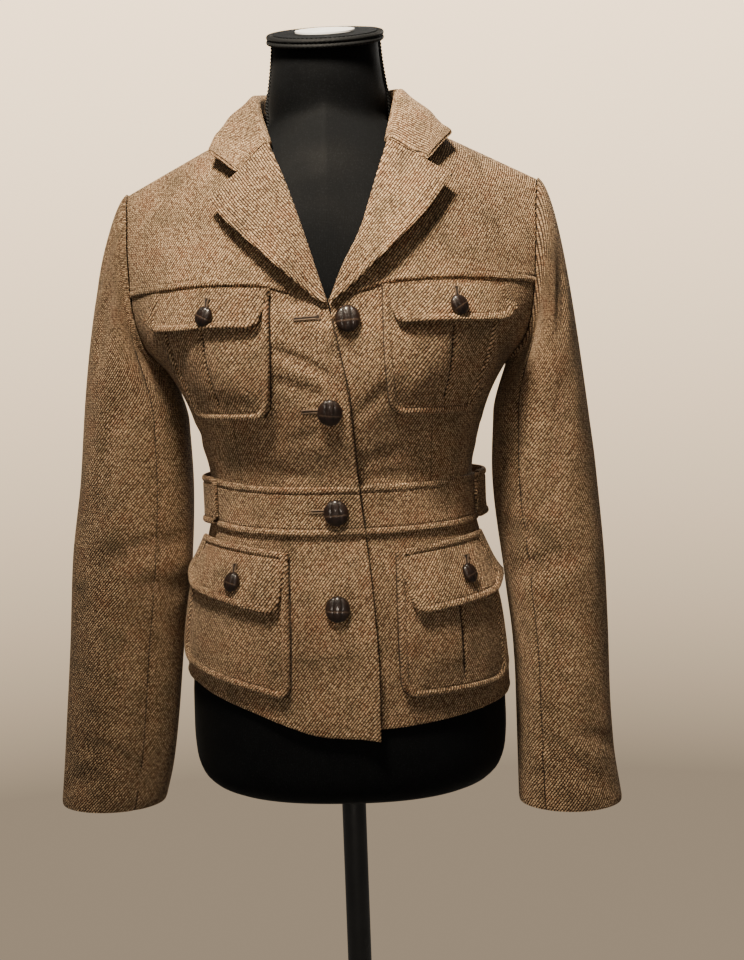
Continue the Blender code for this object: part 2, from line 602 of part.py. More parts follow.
def folded_grids(side, fold_x, fold_z, edge_x, edge_z, radius, notch, shares):
    """Points of a rolled fold on the body and of the cloth that falls back from it."""
    grids = []
    for depth in (0.0, CLOTH):
        turn = TURN_ANGLES[None, :]
        turn_x = fold_x + side * (radius - (radius - depth) * np.cos(turn))
        turn_z = fold_z + 0.0 * turn
        turn_lift = radius - CLOTH + (radius - depth) * np.sin(turn)
        face = FACE_SHARES[None, :]
        start_x = fold_x + side * radius
        top_lift = 2.0 * radius - CLOTH
        face_x = start_x + (edge_x - start_x) * face
        face_z = fold_z + (edge_z - fold_z) * face
        toward_notch = np.minimum(face / NOTCH_SHARE, (1.0 - face) / (1.0 - NOTCH_SHARE))
        bent = ease(NOTCH_FROM, 1.0, shares) * toward_notch
        on_front = BREAK_LIFT * (1.0 - ease(0.0, BREAK_FADE, shares))
        face_x = face_x + bent * (notch[0] - (start_x + (edge_x - start_x) * NOTCH_SHARE))
        face_z = face_z + bent * (notch[1] - (fold_z + (edge_z - fold_z) * NOTCH_SHARE))
        face_lift = top_lift + (LAPEL_LIFT - top_lift) * face * ease(0.0, LAPEL_OPENING, shares) - depth
        x = np.concatenate([turn_x, face_x], axis=1)
        z = np.concatenate([turn_z, face_z], axis=1)
        lift = np.concatenate([turn_lift, face_lift], axis=1) + on_front
        grids.append(body_point(angle_at(x, z), z, lift))
    return grids


def grid_normals(points):
    normal = np.cross(np.gradient(points, axis=1), np.gradient(points, axis=0))
    return normal / np.linalg.norm(normal, axis=-1, keepdims=True)


def collar_station(row, side):
    """One cross-section of the collar: stand, rolled fold, fall."""
    values = dict(zip(COLLAR_COLUMNS, row))
    stand = np.array([side * values["stand_x"], values["stand_y"]])
    spread = RIGHT_COLLAR_SPREAD if side == RIGHT else LEFT_COLLAR_SPREAD
    edge_x, edge_z = spread * values["edge_x"], values["edge_z"]
    edge_z = edge_z + (values["edge_x"] - edge_x) * SHOULDER_SLOPE
    angle = angle_at(np.array(side * edge_x), np.array(edge_z))
    if values["edge_side"] == BACK:
        angle = math.pi - angle
    edge = body_point(angle, edge_z, COLLAR_EDGE_LIFT)
    outward = edge[:2] - stand
    outward /= np.linalg.norm(outward)
    centre_z = values["fold_z"] - FOLD_RADIUS
    points = []
    for share in COLLAR_STAND_SHARES:
        z = values["seam_z"] + (centre_z - values["seam_z"]) * share
        points.append((stand[0], stand[1], z))
    for turn in COLLAR_TURN_ANGLES:
        reach = FOLD_RADIUS * (1.0 - math.cos(turn))
        points.append((*(stand + outward * reach), centre_z + FOLD_RADIUS * math.sin(turn)))
    fall_start = np.array((*(stand + outward * 2.0 * FOLD_RADIUS), centre_z))
    for share in COLLAR_FALL_SHARES:
        bulge = COLLAR_FALL_BULGE * math.sin(math.pi * share)
        point = fall_start + (edge - fall_start) * share
        points.append((point[0] + outward[0] * bulge, point[1] + outward[1] * bulge, point[2] + bulge))
    return np.array(points)


def collar_end(side, lapel_rows, notch, corner):
    """Front end of the collar, level with the lapel's top edge."""
    fold_x, fold_z = lapel_rows[-1][1], lapel_rows[-1][2] + GORGE_GAP
    ones = np.ones((1, 1))
    outer, inner = folded_grids(side, fold_x * ones, fold_z * ones, corner[0] * ones, corner[1] * ones,
                                FOLD_RADIUS * ones, (notch[0], notch[1] + GORGE_GAP), ones)
    return outer[0], inner[0]


def catmull(stations, count):
    """Smooth curve through stations of points, stepped evenly."""
    padded = np.concatenate([2 * stations[:1] - stations[1:2], stations, 2 * stations[-1:] - stations[-2:-1]])
    places = np.linspace(0.0, len(stations) - 1.0, count)
    result = []
    for place in places:
        k = min(int(place), len(stations) - 2)
        s = place - k
        a, b, c, d = padded[k], padded[k + 1], padded[k + 2], padded[k + 3]
        result.append(0.5 * (2 * b + (c - a) * s + (2 * a - 5 * b + 4 * c - d) * s ** 2
                             + (3 * b - a - 3 * c + d) * s ** 3))
    return np.array(result)


def build_collar():
    ends = [collar_end(RIGHT, RIGHT_LAPEL_ROWS, RIGHT_NOTCH, RIGHT_COLLAR_CORNER),
            collar_end(LEFT, LEFT_LAPEL_ROWS, LEFT_NOTCH, LEFT_COLLAR_CORNER)]
    right = [collar_station(row, RIGHT) for row in COLLAR_ROWS[:0:-1]]
    left = [collar_station(row, LEFT) for row in COLLAR_ROWS]
    stations = np.array([ends[0][0]] + right + left + [ends[1][0]])
    outer = catmull(stations, COLLAR_COUNT)
    inner = outer - CLOTH * grid_normals(outer)
    inner[0], inner[-1] = ends[0][1], ends[1][1]
    return cloth_wall("collar", outer, inner)


def armhole_point(side, share):
    """Armhole loop: 0 at the shoulder tip, then front, armpit at 0.5, and back."""
    turn = 2.0 * math.pi * share
    height = ARMPIT_Z + (SHOULDER_TIP_Z - ARMPIT_Z) * (1.0 + np.cos(turn)) / 2.0
    angle = armhole_angle(height)
    angle = np.where(np.sin(turn) >= 0.0, angle, math.pi - angle)
    return body_point(side * angle, height)


def sleeve_ring(side, rows, share, height):
    turn = 2.0 * math.pi * share
    inner_x = column(rows, SLEEVE_COLUMNS, "inner_x", height)
    outer_x = column(rows, SLEEVE_COLUMNS, "outer_x", height)
    centre_y = column(rows, SLEEVE_COLUMNS, "centre_y", height)
    half_depth = column(rows, SLEEVE_COLUMNS, "half_depth", height)
    x = side * ((inner_x + outer_x) / 2.0 + (outer_x - inner_x) / 2.0 * np.cos(turn))
    y = centre_y - half_depth * np.sin(turn)
    return np.stack([x, y, height + 0.0 * x], axis=-1)


def sleeve_point(side, rows, share, along):
    """Sleeve face: along runs 0 to 1 over the cap and 1 to 2 down to the cuff."""
    turn = 2.0 * math.pi * share
    start = armhole_point(side, share)
    loop = armhole_point(side, share + SMALL_TURN) - armhole_point(side, share - SMALL_TURN)
    loop /= np.linalg.norm(loop, axis=-1, keepdims=True)
    sideways = np.array([side, 0.0, 0.0])
    outward = sideways - loop * (loop @ sideways)[..., None]
    outward /= np.linalg.norm(outward, axis=-1, keepdims=True)
    under = np.clip(-np.cos(turn), 0.0, 1.0) ** UNDERARM_POWER
    top = np.clip(np.cos(turn), 0.0, 1.0) ** CAP_TOP_POWER
    rise = UNDERARM_TURN * under - CAP_TOP_SLOPE * top
    outward = outward + np.stack([0.0 * rise, 0.0 * rise, rise], axis=-1)
    outward /= np.linalg.norm(outward, axis=-1, keepdims=True)
    reach = CAP_REACH + (UNDERARM_REACH - CAP_REACH) * under
    upper = sleeve_ring(side, rows, share, np.full_like(share, UPPER_ARM_Z))
    below = sleeve_ring(side, rows, share, np.full_like(share, UPPER_ARM_Z - FALL_STEP))
    fall = (below - upper) / np.linalg.norm(below - upper, axis=-1, keepdims=True)
    distance = np.linalg.norm(upper - start, axis=-1, keepdims=True)
    tangent_reach = distance * (CAP_FALL + (UNDERARM_FALL - CAP_FALL) * under[..., None])
    start = start + outward * ARMHOLE_SEAM
    first = start + outward * reach[..., None]
    second = upper - fall * tangent_reach
    s = np.clip(along, 0.0, 1.0)[..., None]
    rest = 1.0 - s
    cap = rest ** 3 * start + 3.0 * s * rest ** 2 * first + 3.0 * s ** 2 * rest * second + s ** 3 * upper
    cuff_z = rows[0][0]
    height = UPPER_ARM_Z + (cuff_z - UPPER_ARM_Z) * np.clip(along - 1.0, 0.0, 1.0)
    tube = sleeve_ring(side, rows, share, height)
    return np.where((along <= 1.0)[..., None], cap, tube)


def seam_gap(side, rows, share, along):
    """Half of a sleeve seam's gap, as a share of the way round at each ring."""
    share = np.full_like(along, share)
    span = (sleeve_point(side, rows, share + SMALL_TURN, along)
            - sleeve_point(side, rows, share - SMALL_TURN, along))
    before, after = np.clip(along - SMALL_TURN, 0.0, 2.0), np.clip(along + SMALL_TURN, 0.0, 2.0)
    down = sleeve_point(side, rows, share, after) - sleeve_point(side, rows, share, before)
    down /= np.linalg.norm(down, axis=-1, keepdims=True)
    across = span - down * np.sum(span * down, axis=-1, keepdims=True)
    return SLEEVE_SEAM * SMALL_TURN / np.linalg.norm(across, axis=-1)


def build_sleeve_piece(name, side, rows, share_from, share_to, columns):
    along = np.concatenate([np.linspace(0.0, 1.0, CAP_RINGS), np.linspace(1.0, 2.0, TUBE_RINGS)[1:]])
    first, last = (seam_gap(side, rows, share, along) for share in (share_from, share_to))
    step = np.linspace(0.0, 1.0, columns)[None, :]
    start, end = (share_from + first)[:, None], (share_to - last)[:, None]
    share = start + (end - start) * step
    along = along[:, None] + 0.0 * step
    outer = sleeve_point(side, rows, share, along)
    seam_share = np.array(share)
    seam_share[:, 0], seam_share[:, -1] = share_from, share_to
    across = (sleeve_point(side, rows, seam_share + SMALL_TURN, along)
              - sleeve_point(side, rows, seam_share - SMALL_TURN, along))
    before = np.clip(along - SMALL_TURN, 0.0, 2.0)
    after = np.clip(along + SMALL_TURN, 0.0, 2.0)
    down = sleeve_point(side, rows, seam_share, after) - sleeve_point(side, rows, seam_share, before)
    normal = np.cross(across, down) * -side
    normal /= np.linalg.norm(normal, axis=-1, keepdims=True)
    return cloth_wall(name, outer, outer - CLOTH * normal)


def lifted_front(x, height, lift):
    """Point of a front moved out, above the lap where the place is on the right front."""
    angle = angle_at(np.asarray(x, dtype=float), np.asarray(height, dtype=float))
    grid = np.stack([angle, height + 0.0 * angle], axis=-1)
    lap = np.where(angle < 0.0, lap_lift(grid), 0.0)
    return body_point(grid[..., 0], grid[..., 1], lift + lap)


def front_piece(name, x, height, lift, thickness):
    """Wall lying on a front, its outer face moved out by lift."""
    return cloth_wall(name, lifted_front(x, height, lift), lifted_front(x, height, lift - thickness))


def pocket_lift(grid_x, height, rows, bulge):
    """Outer lift of a pocket: sewn down at its edges, full in the middle."""
    top, bottom = rows[0][1], rows[-1][1]
    down = np.clip((top - height) / (top - bottom), 0.0, 1.0)
    inner_x = column(rows, POCKET_COLUMNS, "inner_x", down)
    outer_x = column(rows, POCKET_COLUMNS, "outer_x", down)
    across = np.clip((np.abs(grid_x) - inner_x) / (outer_x - inner_x), 0.0, 1.0)
    full = (np.sin(math.pi * across) * np.sin(math.pi * down)) ** POCKET_FULLNESS
    pleat = PLEAT_DEPTH * np.exp(-((across - PLEAT_SHARE) * (outer_x - inner_x) / PLEAT_WIDTH) ** 2)
    pleat = pleat * ease(*PLEAT_TOP, down) * (1.0 - ease(*PLEAT_END, down))
    return LAY + CLOTH + bulge * full - pleat


def build_pocket(name, side, rows, bulge, rise):
    across = POCKET_ACROSS
    down = np.linspace(0.0, 1.0, POCKET_ROW_COUNT)[:, None]
    top, bottom = rows[0][1], rows[-1][1]
    inner_x = column(rows, POCKET_COLUMNS, "inner_x", down)
    outer_x = column(rows, POCKET_COLUMNS, "outer_x", down)
    x = inner_x + (outer_x - inner_x) * across[None, :]
    corner_share = POCKET_CORNER / (rows[-1][3] - rows[-1][2])
    into_corner = np.clip((np.abs(across - 0.5) - (0.5 - corner_share)) / corner_share, 0.0, 1.0)
    lift_corner = POCKET_CORNER * (1.0 - np.sqrt(1.0 - into_corner ** 2))
    low = bottom + lift_corner + rise * across
    height = top + (low[None, :] - top) * down
    return front_piece(name, side * x, height, pocket_lift(x, height, rows, bulge), CLOTH)


def flap_lift(x, height, down, rows, bulge):
    """Outer lift of a flap lying on its pocket."""
    return pocket_lift(x, height, rows, bulge) + LAY + DOUBLE_CLOTH + FLAP_STAND_OFF * down ** 2


def flap_place(corners, across, down):
    value = dict(zip(FLAP_COLUMNS, corners))
    top_x = value["top_inner_x"] + (value["top_outer_x"] - value["top_inner_x"]) * across
    low_x = value["low_inner_x"] + (value["low_outer_x"] - value["low_inner_x"]) * across
    top_z = value["top_inner_z"] + (value["top_outer_z"] - value["top_inner_z"]) * across
    low_z = value["low_inner_z"] + (value["low_outer_z"] - value["low_inner_z"]) * across
    corner_share = FLAP_CORNER / (value["low_outer_x"] - value["low_inner_x"])
    into_corner = np.clip((np.abs(across - 0.5) - (0.5 - corner_share)) / corner_share, 0.0, 1.0)
    low_z = low_z + FLAP_CORNER * (1.0 - np.sqrt(1.0 - into_corner ** 2))
    return top_x + (low_x - top_x) * down, top_z + (low_z - top_z) * down


def build_flap(name, side, corners, rows, bulge):
    down = np.linspace(0.0, 1.0, FLAP_ROW_COUNT)[:, None]
    x, height = flap_place(corners, FLAP_ACROSS[None, :], down)
    return front_piece(name, side * x, height, flap_lift(x, height, down, rows, bulge), DOUBLE_CLOTH)


def belt_rise(angle):
    return column(BELT_RISE_ROWS, BELT_RISE_COLUMNS, "rise", np.degrees(angle))


def build_front_belt(name, side, tab_angle):
    height = np.linspace(BELT_LOW, BELT_HIGH, BELT_ROW_COUNT)[:, None]
    seam_x = 2.0 * SEAM if side == LEFT else -SEAM
    edge_x = column(RIGHT_EDGE_ROWS, EDGE_COLUMNS, "x", height) + seam_x
    share = np.linspace(0.0, 1.0, FRONT_BELT_COLUMNS)[None, :]
    edge_angle = angle_at(edge_x, height)
    angle = edge_angle + (math.radians(tab_angle) - edge_angle) * share
    grid = np.stack([angle, height + belt_rise(angle)], axis=-1)
    lift = BELT_LIFT + (lap_lift(grid) if side == RIGHT else 0.0)
    return body_panel(name, grid, lift, DOUBLE_CLOTH)


def build_back_belt():
    low, high = BELT_LOW + BACK_BELT_LOW_RISE, BELT_HIGH + BACK_BELT_HIGH_RISE
    height = np.linspace(low, high, BELT_ROW_COUNT)[:, None]
    start = LEFT_TAB_ANGLE - BACK_BELT_OVERLAP
    end = 360.0 + RIGHT_TAB_ANGLE + BACK_BELT_OVERLAP
    degrees = np.linspace(start, end, BACK_BELT_COLUMNS)[None, :]
    from_end = np.minimum(degrees - start, end - degrees)
    over_front = BELT_LIFT * (1.0 - ease(BACK_BELT_STEP_FROM, BACK_BELT_STEP_TO, from_end))
    bulge = np.where(degrees < 180.0, LEFT_BELT_BULGE, RIGHT_BELT_BULGE)
    bulge = bulge * np.exp(-((from_end - BACK_BELT_BULGE_ANGLE) / BACK_BELT_BULGE_SPREAD) ** 2)
    bulge = bulge * ease(0.0, BACK_BELT_FLAT_END, from_end)
    angle = np.radians(degrees) + 0.0 * height
    grid = np.stack([angle, height + belt_rise(angle)], axis=-1)
    lift = BELT_LIFT + BACK_BELT_EASE + over_front + bulge + 0.0 * height
    return body_panel("belt_back", grid, lift, DOUBLE_CLOTH)


def build_button(name, surface, x, height, radius):
    """Domed leather button standing on the cloth at a place of the front."""
    reach = radius * BUTTON_REACH
    along = surface(x + reach, height) - surface(x - reach, height)
    upward = surface(x, height + reach) - surface(x, height - reach)
    normal = np.cross(along, upward)
    normal /= np.linalg.norm(normal)
    seat = surface(x, height) + normal * BUTTON_SEAT
    edit = bmesh.new()
    bmesh.ops.create_cone(edit, cap_ends=True, cap_tris=False, segments=BUTTON_SEGMENTS,
                          radius1=radius, radius2=radius, depth=BUTTON_THICKNESS)
    top_edges = [edge for edge in edit.edges if all(vertex.co.z > 0.0 for vertex in edge.verts)]
    bmesh.ops.bevel(edit, geom=top_edges, offset=BUTTON_THICKNESS * BUTTON_DOME, segments=BUTTON_DOME_STEPS,
                    profile=BUTTON_PROFILE, affect="EDGES")
    part = finish(name, edit, LEATHER, LEATHER_ROUGHNESS)
    right = np.cross([0.0, 0.0, 1.0], normal)
    right /= np.linalg.norm(right)
    upward = np.cross(normal, right)
    placed = np.eye(4)
    placed[:3, 0], placed[:3, 1], placed[:3, 2] = right, upward, normal
    placed[:3, 3] = seat + normal * BUTTON_THICKNESS / 2.0
    part.matrix_world = Matrix(placed.tolist())
    return part


def form_radius(turn, height):
    """Plan radius of the dress form: the body inside the jacket, blended into the neck."""
    sine, cosine = np.sin(turn), np.cos(turn)
    neck_height = height
    height = height + FORM_SHOULDER_DROP * ease(FORM_DROP_FROM, FORM_DROP_TO, height)
    low, high = np.zeros_like(turn), np.full_like(turn, SEARCH_RADIUS)
    half_width = column(BODY_ROWS, BODY_COLUMNS, "half_width", height)
    for _ in range(SEARCH_STEPS):
        middle = (low + high) / 2.0
        x = middle * sine
        share = np.clip(np.abs(x) / half_width, 0.0, 1.0)
        depth = body_depth(x, height, cosine > 0.0) * (1.0 - share ** SQUARENESS) ** (1.0 / SQUARENESS)
        inside = (middle * np.abs(cosine) < depth) & (np.abs(x) < half_width)
        low, high = np.where(inside, middle, low), np.where(inside, high, middle)
    clearance = column(FORM_CLEARANCE_ROWS, FORM_CLEARANCE_COLUMNS, "clearance", height)
    at_side = column(FORM_CLEARANCE_ROWS, FORM_CLEARANCE_COLUMNS, "at_side", height)
    clearance = clearance + at_side * sine ** SIDE_POWER
    body = np.maximum(low - clearance, LEAST_RADIUS)
    neck_x = column(NECK_ROWS, NECK_COLUMNS, "half_width", neck_height)
    neck_y = column(NECK_ROWS, NECK_COLUMNS, "half_depth", neck_height)
    centre = column(NECK_ROWS, NECK_COLUMNS, "centre_y", neck_height)
    a = (sine / neck_x) ** 2 + (cosine / neck_y) ** 2
    b = centre * cosine / neck_y ** 2
    c = (centre / neck_y) ** 2 - 1.0
    neck = (-b + np.sqrt(b * b - a * c)) / a
    joined = (body ** NECK_BLEND + neck ** NECK_BLEND) ** (1.0 / NECK_BLEND)
    return joined if neck_height > NECK_ROWS[0][0] else body


def neck_lift(y, height):
    """Rise toward the back of the neck's slanted top."""
    share = ease(NECK_TILT_FROM, NECK_TOP_Z, height)
    return share * math.tan(NECK_TILT) * (y - NECK_ROWS[-1][3])


def build_form():
    rings = len(FORM_HEIGHTS) + 1
    edit = bmesh.new()
    bmesh.ops.create_uvsphere(edit, u_segments=FORM_SEGMENTS, v_segments=rings + 1, radius=1.0)
    heights = (FORM_BOTTOM_Z,) + FORM_HEIGHTS
    for vertex in edit.verts:
        ring = round((1.0 - math.acos(max(-1.0, min(1.0, vertex.co.z))) / math.pi) * (rings + 1)) - 1
        if ring < 0:
            vertex.co = (0.0, 0.0, FORM_BOTTOM_Z)
        elif ring >= rings:
            vertex.co = (0.0, NECK_ROWS[-1][3], NECK_TOP_Z)
        else:
            height = heights[ring]
            turn = math.atan2(vertex.co.x, -vertex.co.y)
            radius = float(form_radius(np.array(turn), np.array(max(height, FORM_HEIGHTS[0]))))
            radius *= float(column(FORM_BOTTOM_ROWS, FORM_BOTTOM_COLUMNS, "scale", height))
            y = -radius * math.cos(turn)
            vertex.co = (radius * math.sin(turn), y, height + float(neck_lift(y, height)))
    return finish("form_body", edit, BLACK_COVER, COVER_ROUGHNESS)


def build_neck_trim():
    edit = bmesh.new()
    around, section = FORM_SEGMENTS, TRIM_SECTION
    centre_y = NECK_ROWS[-1][3]
    grow = TRIM_HALF_THICKNESS + TRIM_GAP
    loops = []
    for k in range(around):
        turn = 2.0 * math.pi * k / around
        loop = []
        for j in range(section):
            roll = 2.0 * math.pi * j / section
            height = NECK_TOP_Z - TRIM_HALF_HEIGHT - TRIM_TOP_DROP + TRIM_HALF_HEIGHT * math.sin(roll)
            reach = float(form_radius(np.array(turn), np.array(NECK_TOP_Z - TRIM_READ_DROP)))
            reach += grow + TRIM_HALF_THICKNESS * math.cos(roll)
            y = -reach * math.cos(turn)
            loop.append(edit.verts.new((reach * math.sin(turn), y,
                                        height + math.tan(NECK_TILT) * (y - centre_y))))
        loops.append(loop)
    for k in range(around):
        for j in range(section):
            edit.faces.new((loops[k][j], loops[(k + 1) % around][j],
                            loops[(k + 1) % around][(j + 1) % section], loops[k][(j + 1) % section]))
    return finish("neck_trim", edit, BLACK_COVER, TRIM_ROUGHNESS)


def build_neck_core():
    edit = bmesh.new()
    bmesh.ops.create_cone(edit, cap_ends=True, segments=CORE_SEGMENTS, radius1=1.0, radius2=1.0,
                          depth=CORE_THICKNESS)
    centre_y = NECK_ROWS[-1][3]
    for vertex in edit.verts:
        y = centre_y + vertex.co.y * CORE_HALF_DEPTH
        z = NECK_TOP_Z + SEAM + CORE_THICKNESS / 2.0 + vertex.co.z
        vertex.co = (vertex.co.x * CORE_HALF_WIDTH, y, z + math.tan(NECK_TILT) * (y - centre_y))
    return finish("neck_core", edit, WHITE_CORE, CORE_ROUGHNESS)


def build_stand():
    base_top = BASE_RIM + BASE_RISE
    edit = bmesh.new()
    bmesh.ops.create_cone(edit, cap_ends=True, segments=BASE_SEGMENTS, radius1=BASE_RADIUS,
                          radius2=BASE_RADIUS, depth=BASE_RIM)
    bmesh.ops.translate(edit, verts=edit.verts, vec=(0.0, 0.0, BASE_RIM / 2.0))
    top = [face for face in edit.faces if face.calc_center_median().z > BASE_RIM - STEP]
    bmesh.ops.inset_region(edit, faces=top, thickness=BASE_RADIUS - BASE_BOSS_RADIUS, depth=0.0)
    bmesh.ops.translate(edit, verts=top[0].verts, vec=(0.0, 0.0, BASE_RISE))
    finish("base", edit, BLACK_METAL, BASE_ROUGHNESS)
    edit = bmesh.new()
    length = FORM_BOTTOM_Z - base_top - 2.0 * SEAM
    bmesh.ops.create_cone(edit, cap_ends=True, segments=POLE_SEGMENTS, radius1=POLE_RADIUS,
                          radius2=POLE_RADIUS, depth=length)
    bmesh.ops.translate(edit, verts=edit.verts, vec=(0.0, 0.0, base_top + SEAM + length / 2.0))
    finish("pole", edit, BLACK_METAL, POLE_ROUGHNESS)


for scene_object in list(bpy.data.objects):
    bpy.data.objects.remove(scene_object, do_unlink=True)
assembly = bpy.data.collections.new(ASSEMBLY_NAME)
bpy.context.scene.collection.children.link(assembly)

right_front = front_grid(RIGHT, RIGHT_EDGE_ROWS, RIGHT_HEM_ROWS)
body_panel("front_right", right_front, lap_lift(right_front), CLOTH)
body_panel("front_left", front_grid(LEFT, LEFT_EDGE_ROWS, LEFT_HEM_ROWS), 0.0, CLOTH)
body_panel("front_yoke_right", yoke_grid(RIGHT, RIGHT_LAPEL_ROWS), 0.0, CLOTH)
body_panel("front_yoke_left", yoke_grid(LEFT, LEFT_LAPEL_ROWS), 0.0, CLOTH)
body_panel("back", back_grid(), 0.0, CLOTH)
cloth_wall("lapel_right", *lapel_grids(RIGHT, RIGHT_LAPEL_ROWS, RIGHT_NOTCH))
cloth_wall("lapel_left", *lapel_grids(LEFT, LEFT_LAPEL_ROWS, LEFT_NOTCH))
build_collar()
for side, word, rows in ((RIGHT, "right", RIGHT_SLEEVE_ROWS), (LEFT, "left", LEFT_SLEEVE_ROWS)):
    build_sleeve_piece("upper_sleeve_" + word, side, rows, BACK_SLEEVE_SEAM - 1.0, FRONT_SLEEVE_SEAM,
                       UPPER_SLEEVE_COLUMNS)
    build_sleeve_piece("under_sleeve_" + word, side, rows, FRONT_SLEEVE_SEAM, BACK_SLEEVE_SEAM,
                       UNDER_SLEEVE_COLUMNS)
for side, word, place, pocket_rows, bulge, rise, corners in (
        (RIGHT, "right", "chest", CHEST_POCKET_ROWS, CHEST_POCKET_BULGE, 0.0, RIGHT_CHEST_FLAP),
        (LEFT, "left", "chest", CHEST_POCKET_ROWS, CHEST_POCKET_BULGE, 0.0, LEFT_CHEST_FLAP),
        (RIGHT, "right", "hip", RIGHT_HIP_POCKET_ROWS, HIP_POCKET_BULGE, RIGHT_HIP_RISE, RIGHT_HIP_FLAP),
        (LEFT, "left", "hip", LEFT_HIP_POCKET_ROWS, HIP_POCKET_BULGE, 0.0, LEFT_HIP_FLAP)):
    build_pocket(place + "_pocket_" + word, side, pocket_rows, bulge, rise)
    build_flap(place + "_flap_" + word, side, corners, pocket_rows, bulge)
    button = dict(zip(FLAP_COLUMNS, corners))
    x, height = flap_place(corners, np.array(button["button_across"]), np.array(button["button_down"]))

    def flap_surface(x, height):
        return lifted_front(x, height, flap_lift(x, height, button["button_down"], pocket_rows, bulge))

    button_name = place + "_flap_button_" + word
    build_button(button_name, flap_surface, side * float(x), float(height), FLAP_BUTTON_RADIUS)
build_front_belt("belt_right", RIGHT, RIGHT_TAB_ANGLE)
build_front_belt("belt_left", LEFT, LEFT_TAB_ANGLE)
build_back_belt()
for name, x, height, lift in FRONT_BUTTONS:

    def front_surface(x, height):
        return body_point(angle_at(np.array(x), np.array(height)), height, lift)

    build_button(name, front_surface, x, height, FRONT_BUTTON_RADIUS)
build_form()
build_neck_trim()
build_neck_core()
build_stand()
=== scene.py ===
import math

import bpy
import numpy as np
from mathutils import Matrix, Vector


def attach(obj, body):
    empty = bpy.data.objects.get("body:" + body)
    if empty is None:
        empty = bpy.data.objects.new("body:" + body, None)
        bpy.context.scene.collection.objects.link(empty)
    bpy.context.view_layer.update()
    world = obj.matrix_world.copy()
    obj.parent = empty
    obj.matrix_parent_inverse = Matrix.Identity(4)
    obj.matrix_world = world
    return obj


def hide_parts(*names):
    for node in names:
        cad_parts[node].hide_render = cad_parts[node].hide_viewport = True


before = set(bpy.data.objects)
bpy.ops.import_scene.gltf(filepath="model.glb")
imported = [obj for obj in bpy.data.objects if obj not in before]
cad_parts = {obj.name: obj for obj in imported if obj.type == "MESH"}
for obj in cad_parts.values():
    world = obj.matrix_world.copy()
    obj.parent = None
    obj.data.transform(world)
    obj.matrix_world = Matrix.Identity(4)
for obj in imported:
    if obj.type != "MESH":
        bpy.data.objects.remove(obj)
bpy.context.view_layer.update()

PHOTO_HEIGHT = 960

# Cloth walls and gaps
CLOTH = 0.0020
DOUBLE_CLOTH = 0.0026
SEAM = 0.0003
LAY = 0.0007
STEP, NORMAL_STEP, TINY = 1.0e-5, 0.001, 1.0e-12
CLOTH_SHARP, HARD_SHARP = math.radians(62.0), math.radians(50.0)
BODY_RADIUS = 0.10
SEAM_ANGLE = SEAM / 2.0 / BODY_RADIUS
FRONT_SIDE_SHARE, BACK_SIDE_SHARE, ARMHOLE_CROWDING = 0.72, 0.54, 1.5

# Jacket body: outer face of the cloth at rising heights
BODY_COLUMNS = ("height", "half_width", "front_depth", "back_depth")
BODY_ROWS = (
    (0.740, 0.1530, 0.1140, 0.1120),
    (0.845, 0.1525, 0.1140, 0.1120),
    (0.885, 0.1505, 0.1130, 0.1110),
    (0.950, 0.1405, 0.1060, 0.1030),
    (0.994, 0.1275, 0.0980, 0.0890),
    (1.021, 0.1225, 0.0950, 0.0840),
    (1.050, 0.1225, 0.0960, 0.0830),
    (1.080, 0.1285, 0.1040, 0.0870),
    (1.113, 0.1385, 0.1120, 0.0930),
    (1.146, 0.1560, 0.1160, 0.0980),
    (1.170, 0.1780, 0.1160, 0.1020),
    (1.190, 0.1880, 0.1140, 0.1050),
    (1.217, 0.1965, 0.1100, 0.1080),
    (1.260, 0.2030, 0.1030, 0.1070),
    (1.320, 0.2050, 0.0940, 0.1000),
    (1.360, 0.2050, 0.0900, 0.0900),
    (1.420, 0.2050, 0.0830, 0.0780),
)
SQUARENESS = 2.3
NECK_POINT_X, NECK_POINT_Z = 0.060, 1.376
SHOULDER_TIP_X, SHOULDER_TIP_Z = 0.188, 1.3125
SHOULDER_SLOPE = (NECK_POINT_Z - SHOULDER_TIP_Z) / (SHOULDER_TIP_X - NECK_POINT_X)
FRONT_ROUNDING, BACK_ROUNDING = 0.160, 0.130
SHOULDER_SEAM_DROP = 8.0e-7
RIDGE_CROWDING = 1.8
YOKE_NECK_X, BACK_NECK_DIP = 0.0715, 0.018
BUST_X, BUST_Z, BUST_SPREAD, BUST_HEIGHT = 0.078, 1.150, 0.045, 0.009

# Armhole: angle of the seam from the centre line, front and back alike
ARMPIT_Z = 1.146
ARMHOLE_COLUMNS = ("height", "angle")
ARMHOLE_ROWS = (
    (1.146, 90.0),
    (1.150, 84.0),
    (1.158, 78.0),
    (1.170, 73.5),
    (1.190, 69.0),
    (1.217, 65.0),
    (1.250, 62.8),
    (1.280, 62.8),
    (1.3125, 65.0),
)

# Front yoke seam, from the centre front to the armhole
YOKE_COLUMNS = ("x", "height")
YOKE_ROWS = (
    (0.000, 1.2050),
    (0.030, 1.2100),
    (0.060, 1.2175),
    (0.110, 1.2195),
    (0.150, 1.2175),
    (0.185, 1.2145),
)

# Front edges below the yoke seam
EDGE_COLUMNS = ("height", "x")
RIGHT_EDGE_ROWS = (
    (0.815, 0.0330),
    (0.883, 0.0335),
    (0.949, 0.0300),
    (1.000, 0.0250),
    (1.050, 0.0205),
    (1.120, 0.0165),
    (1.160, 0.0095),
    (1.205, 0.0005),
)
LEFT_EDGE_ROWS = (
    (0.815, -0.0180),
    (1.160, -0.0180),
    (1.180, -0.0060),
    (1.192, 0.0040),
    (1.205, 0.0014),
)
LAP_LIFT = CLOTH + LAY
LAP_EDGES = (-0.078, -0.040)
LAP_FADE_LOW, LAP_FADE_HIGH = 1.189, 1.204

